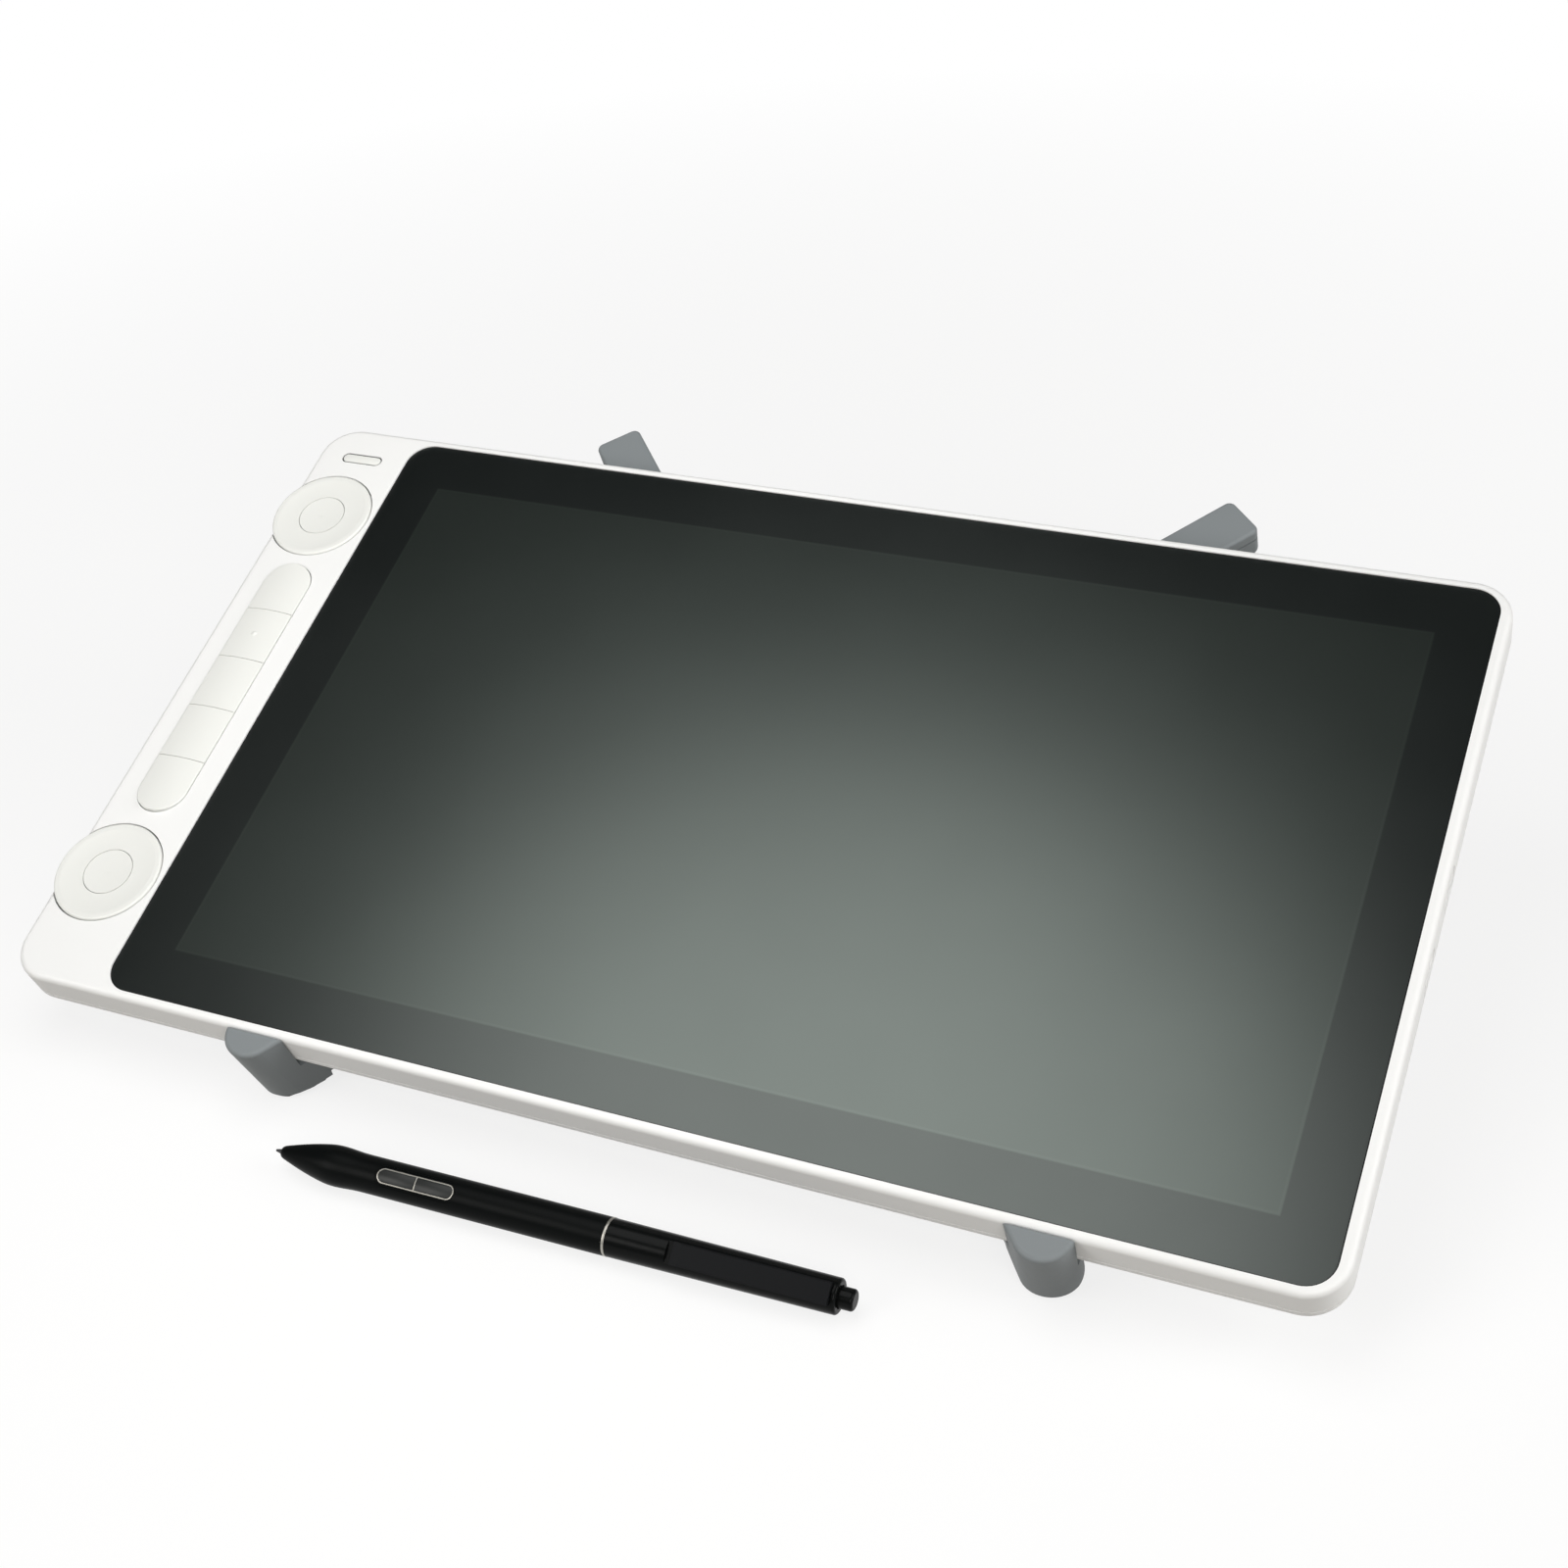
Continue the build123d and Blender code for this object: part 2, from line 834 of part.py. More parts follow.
def ribbon(places, thickness, width):
    """Flat cable with its top face through the given places, across and up, drawn on the XZ plane."""
    low = [(along, high - thickness) for along, high in reversed(places)]
    outline = make_face(Polyline(*places, *low, close=True))
    return extrude(Plane.XZ * outline, width / 2, both=True)


def display_flex():
    """Flat cable from under the display stack down to the main board, in one flat S."""
    land = main_board_top + flex_thickness
    places = [
        (flex_start_y, stack_bottom),
        (flex_bend_y, stack_bottom),
        (flex_land_y, land),
        (flex_end_y, land),
    ]
    return Pos(flex_x, 0, 0) * Rot(0, 0, 90) * ribbon(places, flex_thickness, flex_width)


def key_flex():
    """Flat cable from the key board, along the shield's underside, to the main board."""
    start = key_board_x + key_board_width / 2 - key_flex_end
    board_edge = main_board_right - main_board_width
    places = [
        (start, key_board_top + flex_thickness),
        (start + key_flex_end, key_board_top + flex_thickness),
        (start + key_flex_end + key_flex_rise, stack_bottom),
        (board_edge - key_flex_rise, stack_bottom),
        (board_edge, main_board_top + flex_thickness),
        (board_edge + key_flex_end, main_board_top + flex_thickness),
    ]
    return Pos(0, key_flex_y, 0) * ribbon(places, flex_thickness, key_flex_width)


# Stand's arms, drawn along X from the pivot, front end at the hook, and mirrored for the other arm


def arm_front(side):
    """Where the middle line of an arm meets the plane of the case's front."""
    return (case_front - pivot_y) / cos(radians(arm_a_angle if side > 0 else arm_b_angle))


def arm_body(root):
    length = arm_rear - root
    body = block(length, arm_width, arm_low, arm_top, root + length / 2)
    tip_edges = body.edges().filter_by(Axis.Z).sort_by(Axis.X)[-2:]
    body = fillet(tip_edges, arm_corner)
    low_tip = body.faces().sort_by(Axis.Z)[0].edges().sort_by(Axis.X)[-1:]
    body = fillet(low_tip, arm_tip_round)
    top_edges = body.faces().sort_by(Axis.Z)[-1].edges()
    return fillet(top_edges.sort_by(Axis.X)[1:], arm_edge_round)


def hook_section(root, centre, radius, height):
    half = arm_width / 2
    outline = make_face(
        Line((root, half), (centre, radius))
        + ThreePointArc((centre, radius), (centre - radius, 0), (centre, -radius))
        + Line((centre, -radius), (root, -half))
        + Line((root, -half), (root, half))
    )
    return Pos(0, 0, height) * outline


def hook_nose(front):
    """Nose that rises in front of the tablet, raked back towards its foot like a boat's bow."""
    root = front + hook_root
    high = hook_section(root, front, hook_radius, hook_top)
    low = hook_section(root, front + hook_foot_setback, hook_foot_radius, arm_low)
    nose = loft([high, low], ruled=True)
    return fillet(nose.faces().sort_by(Axis.Z)[-1].edges(), hook_edge_round)


def arm_blank(front):
    root = front + hook_root
    arm = arm_body(root) + hook_nose(front)
    groove_high = arm_top - groove_drop
    length = arm_rear - root
    middle = root + length / 2
    band = block(length, arm_width + overrun, groove_high - groove_height, groove_high, middle + groove_depth)
    band -= block(
        length,
        arm_width - 2 * groove_depth,
        groove_high - groove_height,
        groove_high,
        middle - groove_depth,
        corner=arm_corner,
    )
    return arm - band


def leg_channel():
    high = arm_top - leg_hinge_drop + leg_half + leg_roof_gap
    end = leg_hinge_s + leg_half + leg_stop_gap
    channel = block(end - channel_from, channel_width, arm_low - overrun, high, (end + channel_from) / 2)
    scoop = Pos(scoop_s, 0, arm_low - scoop_radius + scoop_drop) * Rot(90, 0, 0) * Cylinder(
        scoop_radius, arm_width + overrun
    )
    return channel + scoop


def leg_pin_bore(radius):
    return Pos(leg_hinge_s, 0, leg_hinge_z) * Rot(90, 0, 0) * Cylinder(radius, arm_width + overrun)


def pad_slots(front, low, high):
    """Beds of the two rubber strips on the top of an arm."""
    front_middle = front + front_pad_setback + front_pad_length / 2
    rear_middle = arm_rear - rear_pad_setback - rear_pad_length / 2
    return [
        slot(front_pad_length, strip_pad_width, low, high, front_middle),
        slot(rear_pad_length, strip_pad_width, low, high, rear_middle),
    ]


def lap_cut(low, high):
    return block(2 * lap_half, arm_width + overrun, low, high)


def arm_drawn(side):
    """One arm. On side 1 it keeps its top half where the arms cross, and on side -1 its lower half."""
    front = arm_front(side)
    arm = arm_blank(front) - leg_channel() - leg_pin_bore(leg_pin_radius + leg_pin_fit)
    for pad in pad_slots(front, arm_top - strip_pad_inset, arm_top + overrun):
        arm -= pad
    if side > 0:
        arm -= lap_cut(arm_low - overrun, lap_middle + lap_gap / 2)
        arm += disc(boss_radius, lap_middle + lap_gap / 2, arm_top)
        arm -= disc(pin_radius + pin_fixed_fit, arm_low, arm_top)
        arm -= disc(pin_head_radius + pin_head_gap, arm_top - pin_cap_height, arm_top)
    else:
        arm -= lap_cut(lap_middle - lap_gap / 2, arm_top + overrun)
        arm += disc(boss_radius, arm_low, lap_middle - lap_gap / 2)
        arm -= disc(pin_radius + pin_running_fit, arm_low, arm_top)
        arm -= disc(pin_head_radius + pin_head_gap, arm_low, arm_low + pin_head_height + pin_head_gap)
    return arm


def on_arm(shape, side):
    """Side 1 runs from the front left to the rear right, and side -1 is its mirror image."""
    if side > 0:
        return Pos(pivot_x, pivot_y, 0) * Rot(0, 0, 90 - arm_a_angle) * shape
    return Pos(pivot_x, pivot_y, 0) * Rot(0, 0, 90 + arm_b_angle) * mirror(shape, Plane.XZ)


def tablet_space():
    """Room over an arm for the tablet, behind the hook's face."""
    reach = 2 * arm_rear
    return Pos(pivot_x, hook_face + reach, arm_top + reach / 2) * Box(2 * reach, 2 * reach, reach)


def stand_arm(side):
    arm = on_arm(arm_drawn(side), side) - tablet_space() - hook_pad(side, hook_pad_fit)
    return on_tablet(arm) - table_slab(-case_width, sole_thickness)


def hook_pad(side, margin):
    """Rubber pad let into the hook's face, upright against the tablet's front."""
    angle = radians(arm_a_angle if side > 0 else arm_b_angle)
    width = hook_pad_width + 2 * margin
    sheet = RectangleRounded(width, hook_pad_height + 2 * margin, hook_pad_corner + margin)
    pad = extrude(Plane.XZ * sheet, hook_pad_thickness)
    middle = pivot_x + side * (hook_face - pivot_y) * sin(angle) / cos(angle)
    return Pos(middle, hook_face + hook_pad_proud, hook_top - hook_pad_drop - hook_pad_height / 2) * pad


def arm_pads(side):
    pads = []
    for pad in pad_slots(arm_front(side), arm_top - strip_pad_inset, strip_pad_top):
        pads.append(on_arm(chamfer(pad.faces().sort_by(Axis.Z)[-1].edges(), strip_pad_bevel), side))
    pads.append(hook_pad(side, 0))
    return set_of(pads)


def arm_sole(side):
    """Rubber sole under the nose, trimmed flat in front where it stands on the table."""
    front = arm_front(side)
    root = front + sole_root
    outline = hook_section(root, front + hook_foot_setback, hook_foot_radius - sole_inset, sole_low)
    sole = extrude(outline, 2 * sole_thickness) & block(
        arm_rear, arm_width - 2 * sole_inset, sole_low, arm_top, root - arm_rear / 2
    )
    under_arm = block(arm_rear, 2 * arm_width, sole_low, arm_low, root - arm_rear / 2)
    under = on_tablet(on_arm(sole & under_arm, side))
    toe = on_tablet(on_arm(sole, side)) & table_slab(0, sole_thickness)
    return under + toe - table_slab(-case_width, 0)


def pivot_pin():
    low = arm_low + pin_head_gap / 2
    shaft = disc(pin_radius, low, arm_top - pin_cap_height)
    return shaft + disc(pin_head_radius, low, low + pin_head_height)


def pivot_cap():
    cap = disc(pin_head_radius, arm_top - pin_cap_height, arm_top)
    return chamfer(cap.faces().sort_by(Axis.Z)[-1].edges(), pin_cap_bevel)


# Fold-out rear legs, drawn in use: straight down from the arm


def leg_length_down():
    return leg_hinge_height / tilt_cos + leg_thickness


def leg_bar():
    length = leg_length_down()
    bar = Pos(leg_hinge_s, 0, leg_hinge_z - length / 2) * Box(leg_thickness, leg_width, length)
    knuckle = Pos(leg_hinge_s, 0, leg_hinge_z) * Rot(90, 0, 0) * Cylinder(leg_half, leg_width)
    bar += knuckle
    bar -= Pos(leg_hinge_s, 0, leg_hinge_z) * Rot(90, 0, 0) * Cylinder(
        leg_pin_radius + leg_pin_running_fit, leg_width
    )
    groove_length = leg_groove_to - leg_groove_from
    groove = extrude(SlotOverall(groove_length, leg_groove_width), leg_groove_depth)
    middle = leg_hinge_z - (leg_groove_to + leg_groove_from) / 2
    bar -= Pos(leg_hinge_s - leg_half, 0, middle) * Rot(0, 90, 0) * groove
    return bar


def stand_leg(side):
    bar = on_tablet(on_arm(leg_bar(), side))
    return bar - table_slab(-case_width, leg_foot_height)


def leg_foot(side):
    bar = on_tablet(on_arm(leg_bar(), side))
    return bar & table_slab(0, leg_foot_height)


def leg_pin(side):
    length = arm_width - 2 * leg_pin_recess
    pin = Pos(leg_hinge_s, 0, leg_hinge_z) * Rot(90, 0, 0) * Cylinder(leg_pin_radius, length)
    return on_tablet(on_arm(pin, side))


# Pen, drawn along X from the nib's point, with its buttons and clip towards +Z


def turned(points_and_arcs):
    return revolve(make_face(points_and_arcs), Axis.X)


def pen_nib():
    taper = nib_taper
    return turned(
        Line((0, 0), (nib_length, 0))
        + Line((nib_length, 0), (nib_length, nib_radius))
        + Line((nib_length, nib_radius), (taper, nib_radius))
        + Line((taper, nib_radius), (nib_point_radius, nib_point_radius))
        + RadiusArc((nib_point_radius, nib_point_radius), (0, 0), -nib_point_radius)
    )


def side_pill(low, margin):
    """Upright block with the outline of the side buttons' opening."""
    return slot(
        pill_length + 2 * margin,
        pill_width + 2 * margin,
        low,
        swell_radius + overrun,
        pill_from + pill_length / 2,
    )


def pen_grip():
    nose_middle = (grip_start + swell_from) / 2
    nose = Spline(
        (grip_start, grip_mouth_radius),
        (nose_middle, nose_share * swell_radius),
        (swell_from, swell_radius),
        tangents=((1, 1), (1, 0)),
    )
    outside = (
        nose
        + Line((swell_from, swell_radius), (swell_to, swell_radius))
        + Spline(
            (swell_to, swell_radius),
            (waist_from, waist_radius),
            tangents=((1, 0), (1, 0)),
        )
        + Line((waist_from, waist_radius), (grip_end, waist_radius))
    )
    inside = (
        Line((grip_end, waist_radius), (grip_end, spigot_radius))
        + Line((grip_end, spigot_radius), (grip_end - spigot_length, spigot_radius))
        + Line((grip_end - spigot_length, spigot_radius), (grip_end - spigot_length, bore_radius))
        + Line((grip_end - spigot_length, bore_radius), (bore_start, bore_radius))
        + Line((bore_start, bore_radius), (bore_start, nib_radius + nib_gap))
        + Line((bore_start, nib_radius + nib_gap), (grip_start, nib_radius + nib_gap))
        + Line((grip_start, nib_radius + nib_gap), (grip_start, grip_mouth_radius))
    )
    dish = side_pill(pill_floor, pill_dish_margin) - rod(pill_dish_radius, 0, grip_end)
    return turned(outside + inside) - dish - side_pill(pill_floor, pill_gap)


def under_skin(radius, shape):
    """What of a shape lies inside a round bar about the pen's axis."""
    return shape & rod(radius, pill_from - pill_length, pill_from + 2 * pill_length)


def pen_button_frame():
    frame = side_pill(pill_floor, 0)
    inner = pill_length - 2 * pill_frame
    high = swell_radius + overrun
    middle = pill_from + pill_length / 2
    outline = slot(inner, pill_width - 2 * pill_frame, pill_floor, high, middle)
    bridge = block(pill_frame, pill_width, pill_floor, high, middle)
    frame = frame - outline + (bridge & side_pill(pill_floor, 0))
    return under_skin(pill_top, frame)


def pen_side_button(place):
    """Place 0 is the button nearer the nib and 1 the other."""
    margin = pill_frame + side_button_gap
    low = pill_floor + side_button_clearance
    length = pill_length - 2 * margin
    middle = pill_from + pill_length / 2
    both = slot(length, pill_width - 2 * margin, low, swell_radius + overrun, middle)
    share = length / 2 - pill_frame / 2 - side_button_gap
    reach = length / 2 - share / 2
    cell = block(share, pill_width, low, swell_radius + overrun, middle + (2 * place - 1) * reach)
    return under_skin(pill_top + side_button_proud, both & cell)


def pen_ring():
    return rod(waist_radius, grip_end, ring_end) - rod(spigot_radius, grip_end, ring_end)


def pen_rear_barrel():
    bevel = rear_end - barrel_end_bevel
    end_face = barrel_end_radius - barrel_end_bevel
    button_hole = end_button_radius + end_button_gap
    stem_hole = end_button_stem_radius + end_button_gap
    pocket = rear_end - end_button_inside - end_button_travel - end_button_gap
    barrel = turned(
        Line((grip_end - spigot_length, bore_radius), (grip_end - spigot_length, spigot_radius - spigot_fit))
        + Line((grip_end - spigot_length, spigot_radius - spigot_fit), (ring_end, spigot_radius - spigot_fit))
        + Line((ring_end, spigot_radius - spigot_fit), (ring_end, barrel_radius))
        + Line((ring_end, barrel_radius), (bevel, barrel_end_radius))
        + RadiusArc((bevel, barrel_end_radius), (rear_end, end_face), barrel_end_bevel)
        + Line((rear_end, end_face), (rear_end, button_hole))
        + Line((rear_end, button_hole), (pocket, button_hole))
        + Line((pocket, button_hole), (pocket, stem_hole))
        + Line((pocket, stem_hole), (pocket - end_wall, stem_hole))
        + Line((pocket - end_wall, stem_hole), (pocket - end_wall, bore_radius))
        + Line((pocket - end_wall, bore_radius), (grip_end - spigot_length, bore_radius))
    )
    flat_length = clip_length + clip_front_gap + clip_end_gap
    flat_middle = clip_to + clip_end_gap - flat_length / 2
    return barrel - block(flat_length, 2 * barrel_radius, clip_seat, barrel_radius + overrun, flat_middle)


def pen_clip():
    """Flat blade, free at its front end and fixed to the barrel at its rear end."""
    low = clip_seat + clip_lift
    blade = block(clip_length, clip_width, low, low + clip_thickness, clip_from + clip_length / 2)
    top_edges = blade.faces().sort_by(Axis.Z)[-1].edges()
    blade = chamfer(top_edges.filter_by(Axis.X), clip_bevel)
    front_edge = blade.faces().sort_by(Axis.X)[0].edges().sort_by(Axis.Z)[-1:]
    blade = chamfer(front_edge, clip_thickness / 2, clip_nose)
    root = block(clip_root, clip_width, clip_seat, low, clip_to - clip_root / 2)
    return blade + root


def pen_end_button():
    start = rear_end - end_button_inside
    body = rod(end_button_radius, start, pen_length)
    body = fillet(body.faces().sort_by(Axis.X)[-1].edges(), end_button_round)
    return body + rod(end_button_stem_radius, start - end_button_stem, start)


def pen_core():
    """Coil former round the nib, with the circuit board behind it."""
    coil = rod(core_radius, core_front, core_coil_end) - rod(nib_radius + nib_gap, core_front, core_coil_end)
    length = core_end - core_coil_end
    board = Pos(core_coil_end + length / 2, 0, 0) * Box(length, core_board_width, core_board_thickness)
    return coil + board


def on_table(shape, roll=pen_roll):
    start_y = front_edge_y - pen_forward + shift_y
    place = Pos(pen_nib_x + shift_x, start_y, swell_radius)
    return place * Rot(0, 0, pen_turn) * Rot(roll, 0, 0) * shape


def write(name, shape):
    export_step(shape, f"parts/{name}.step")


def tablet_parts():
    parts = {
        "front_housing": front_housing(),
        "rear_cover": rear_cover(),
        "rear_feet": rear_feet(),
        "cover_screws": cover_screws(),
        "cover_glass": cover_glass(),
        "display_panel": display_panel(),
        "backlight_unit": backlight_unit(),
        "pen_sensor_board": pen_sensor_board(),
        "shield_plate": shield_plate(),
        "key_board": key_board(),
        "button_switches": button_switches(),
        "dial_encoders": dial_encoders(),
        "main_board": main_board(),
        "usb_c_ports": usb_ports(),
        "display_flex": display_flex(),
        "key_flex": key_flex(),
        "power_button": power_button(),
    }
    for name, y in (("lower", -dial_y), ("upper", dial_y)):
        parts[f"{name}_dial"] = Pos(dial_x, y, 0) * dial_ring()
        parts[f"{name}_dial_button"] = Pos(dial_x, y, 0) * dial_button()
    row = key_row()
    for place in range(key_count):
        parts[f"express_key_{key_count - place}"] = express_key(row, place)
    return {name: on_tablet(shape) for name, shape in parts.items()}


def stand_parts():
    parts = {"pivot_pin": on_tablet(Pos(pivot_x, pivot_y, 0) * pivot_pin())}
    parts["pivot_cap"] = on_tablet(Pos(pivot_x, pivot_y, 0) * pivot_cap())
    for name, side in (("a", 1), ("b", -1)):
        parts[f"arm_{name}"] = stand_arm(side)
        parts[f"arm_{name}_pads"] = on_tablet(arm_pads(side))
        parts[f"arm_{name}_sole"] = arm_sole(side)
        parts[f"leg_{name}"] = stand_leg(side)
        parts[f"leg_{name}_foot"] = leg_foot(side)
        parts[f"leg_{name}_pin"] = leg_pin(side)
    return parts


def pen_parts():
    button_parts = {
        "pen_grip": pen_grip(),
        "pen_button_frame": pen_button_frame(),
        "pen_side_button_front": pen_side_button(0),
        "pen_side_button_rear": pen_side_button(1),
    }
    clip_parts = {
        "pen_nib": pen_nib(),
        "pen_ring": pen_ring(),
        "pen_rear_barrel": pen_rear_barrel(),
        "pen_clip": pen_clip(),
        "pen_end_button": pen_end_button(),
        "pen_core": pen_core(),
    }
    parts = {name: on_table(shape, pen_roll + side_button_turn) for name, shape in button_parts.items()}
    parts.update({name: on_table(shape) for name, shape in clip_parts.items()})
    return parts


os.makedirs("parts", exist_ok=True)
for group in (tablet_parts(), stand_parts(), pen_parts()):
    for name, shape in group.items():
        write(name, shape)
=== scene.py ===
import bpy
import json
from math import pi, radians
from mathutils import Matrix, Vector


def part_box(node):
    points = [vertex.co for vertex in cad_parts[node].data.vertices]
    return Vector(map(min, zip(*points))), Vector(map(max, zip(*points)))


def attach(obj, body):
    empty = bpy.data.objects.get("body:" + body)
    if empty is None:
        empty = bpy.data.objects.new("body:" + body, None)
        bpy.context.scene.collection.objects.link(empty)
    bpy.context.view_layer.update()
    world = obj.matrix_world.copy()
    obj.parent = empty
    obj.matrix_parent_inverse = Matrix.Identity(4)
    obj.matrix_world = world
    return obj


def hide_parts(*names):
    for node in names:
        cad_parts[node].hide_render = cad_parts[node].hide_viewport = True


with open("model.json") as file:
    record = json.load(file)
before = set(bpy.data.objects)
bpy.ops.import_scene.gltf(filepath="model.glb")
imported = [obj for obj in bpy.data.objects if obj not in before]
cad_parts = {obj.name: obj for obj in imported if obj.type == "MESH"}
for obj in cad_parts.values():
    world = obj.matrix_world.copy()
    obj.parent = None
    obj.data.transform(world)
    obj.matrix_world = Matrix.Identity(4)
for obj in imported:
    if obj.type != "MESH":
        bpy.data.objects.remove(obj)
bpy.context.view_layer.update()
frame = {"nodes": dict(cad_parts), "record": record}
bpy.ops.object.select_all(action="DESELECT")
print("frame loaded,", len(frame["nodes"]), "nodes")


# where the tilted tablet and the pen lie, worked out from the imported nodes
layout = {
    "tilt": radians(20),
    "glassHalf": 0.0004,       # half of the cover glass's thickness
    "penTurn": radians(0.78),
    "clipRoll": radians(39.5),
    "pillRoll": radians(-6),   # from the clip to the side buttons
}
glassLow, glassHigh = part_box("cover_glass")
tiltTurn = Matrix.Rotation(layout["tilt"], 4, "X")
glassUp = tiltTurn @ Vector((0, 0, layout["glassHalf"]))
tabletPlace = Matrix.Translation((glassLow + glassHigh) / 2 + glassUp) @ tiltTurn
nibLow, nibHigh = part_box("pen_nib")
nibRadius = (nibHigh.z - nibLow.z) / 2
nibPoint = Vector((nibLow.x, nibLow.y + nibRadius, nibLow.z + nibRadius))
penLine = Matrix.Translation(nibPoint) @ Matrix.Rotation(layout["penTurn"], 4, "Z")
penPlace = penLine @ Matrix.Rotation(layout["clipRoll"], 4, "X")
pillPlace = penLine @ Matrix.Rotation(layout["clipRoll"] + layout["pillRoll"], 4, "X")


class Value:
    # a socket that adds Math nodes when it is used in an expression
    def __init__(self, shader, socket):
        self.shader = shader
        self.socket = socket

    def maths(self, operation, first, second):
        return self.shader.add("ShaderNodeMath", {"operation": operation}, {0: first, 1: second})

    def __add__(self, other):
        return self.maths("ADD", self, other)

    def __sub__(self, other):
        return self.maths("SUBTRACT", self, other)

    def __rsub__(self, other):
        return self.maths("SUBTRACT", other, self)

    def __mul__(self, other):
        return self.maths("MULTIPLY", self, other)

    def __abs__(self):
        return self.shader.add("ShaderNodeMath", {"operation": "ABSOLUTE"}, {0: self})

    __radd__ = __add__
    __rmul__ = __mul__


noiseSpan = (0.3, 0.7)   # nearly all of a noise's values lie between these


class Shader:
    # one material's or the world's node tree
    def __init__(self, owner):
        owner.use_nodes = True
        self.tree = owner.node_tree
        self.tree.nodes.clear()

    def add(self, kind, settings, inputs, output=0):
        # any node: its settings first, then the values or links of its sockets
        node = self.tree.nodes.new(kind)
        for name, value in settings.items():
            setattr(node, name, value)
        for name, value in inputs.items():
            if isinstance(value, Value):
                self.tree.links.new(value.socket, node.inputs[name])
            else:
                node.inputs[name].default_value = value
        return Value(self, node.outputs[output]) if node.outputs else None

    def place(self, matrix=None):
        # object coordinates, or those of a tilted or turned piece
        where = self.add("ShaderNodeTexCoord", {}, {}, "Object")
        if matrix is None:
            return where
        back = matrix.inverted()
        inputs = {"Vector": where, "Location": back.translation, "Rotation": back.to_euler("XYZ")}
        return self.add("ShaderNodeMapping", {}, inputs)

    def axes(self, where):
        split = self.add("ShaderNodeSeparateXYZ", {}, {"Vector": where}).socket.node
        return [Value(self, socket) for socket in split.outputs]

    def noise(self, where, scale, detail=2.0, rough=0.5):
        inputs = {"Vector": where, "Scale": scale, "Detail": detail, "Roughness": rough}
        return self.add("ShaderNodeTexNoise", {}, inputs)

    def blend(self, mask, low, high):
        return self.add("ShaderNodeMix", {"data_type": "RGBA"}, {0: mask, 6: low, 7: high}, 2)

    def spread(self, value, low, high, newLow, newHigh):
        # moves a value's range, kept inside the new one
        inputs = {"Value": value, "From Min": low, "From Max": high, "To Min": newLow, "To Max": newHigh}
        return self.add("ShaderNodeMapRange", {"clamp": True}, inputs)

    def vary(self, noise, middle, less, more):
        # a number that follows a noise about its middle
        return self.spread(noise, *noiseSpan, middle - less, middle + more)

    def bump(self, height, distance):
        return self.add("ShaderNodeBump", {}, {"Height": height, "Distance": distance, "Strength": 1.0})

    def finish(self, inputs):
        surface = self.add("ShaderNodeBsdfPrincipled", {}, inputs)
        self.add("ShaderNodeOutputMaterial", {}, {"Surface": surface})


def rgb(colour, shade=1.0):
    return (*(part * shade for part in colour), 1.0)


def newMaterial(name):
    material = bpy.data.materials.new(name)
    return material, Shader(material)


def rectangleMask(shader, across, along, wide, deep, soft):
    # 1 inside a rectangle about the middle, with a soft edge
    side = shader.spread(abs(across), wide / 2 - soft, wide / 2 + soft, 1.0, 0.0)
    end = shader.spread(abs(along), deep / 2 - soft, deep / 2 + soft, 1.0, 0.0)
    return side * end


# fine moulded plastics: size of the grain in metres, its depth, and how far the tone drifts
plastics = {
    "case_white": {
        "colour": (0.84, 0.842, 0.836), "rough": 0.46, "gloss": 0.5,
        "grain": 0.00022, "depth": 0.000006, "drift": 0.02},
    "key_white": {
        "colour": (0.76, 0.766, 0.738), "rough": 0.52, "gloss": 0.4,
        "grain": 0.00016, "depth": 0.000003, "drift": 0.015},
    "stand_grey": {
        "colour": (0.214, 0.233, 0.242), "rough": 0.5, "gloss": 0.15,
        "grain": 0.0003, "depth": 0.000012, "drift": 0.05},
    "component_black": {
        "colour": (0.012, 0.012, 0.013), "rough": 0.6, "gloss": 0.15,
        "grain": 0.0002, "depth": 0.000008, "drift": 0.1},
    "nib_plastic": {
        "colour": (0.05, 0.05, 0.052), "rough": 0.4, "gloss": 0.3,
        "grain": 0.0001, "depth": 0.000002, "drift": 0.1},
    "pen_matt_black": {
        "colour": (0.0035, 0.0042, 0.0042), "rough": 0.36, "gloss": 0.05,
        "grain": 0.00012, "depth": 0.000003, "drift": 0.15},
    "pen_gloss_black": {
        "colour": (0.004, 0.0045, 0.0045), "rough": 0.22, "gloss": 0.07,
        "grain": 0.0009, "depth": 0.000001, "drift": 0.1},
    "pen_clip_black": {
        "colour": (0.0085, 0.009, 0.01), "rough": 0.4, "gloss": 0.06,
        "grain": 0.00012, "depth": 0.000004, "drift": 0.12},
    "pen_button_black": {
        "colour": (0.021, 0.0225, 0.022), "rough": 0.38, "gloss": 0.25,
        "grain": 0.0001, "depth": 0.000002, "drift": 0.1},
    "foot_rubber": {
        "colour": (0.06, 0.06, 0.062), "rough": 0.8, "gloss": 0.2,
        "grain": 0.0004, "depth": 0.00002, "drift": 0.15},
    "stand_rubber": {
        "colour": (0.05, 0.05, 0.049), "rough": 0.82, "gloss": 0.2,
        "grain": 0.0004, "depth": 0.00002, "drift": 0.15},
}
# slow clouds in the tone of every plastic, and how far its roughness varies
moulding = {"cloudScale": 18.0, "cloudShare": 0.7, "low": 0.35, "high": 0.65, "roughSpread": 0.04}


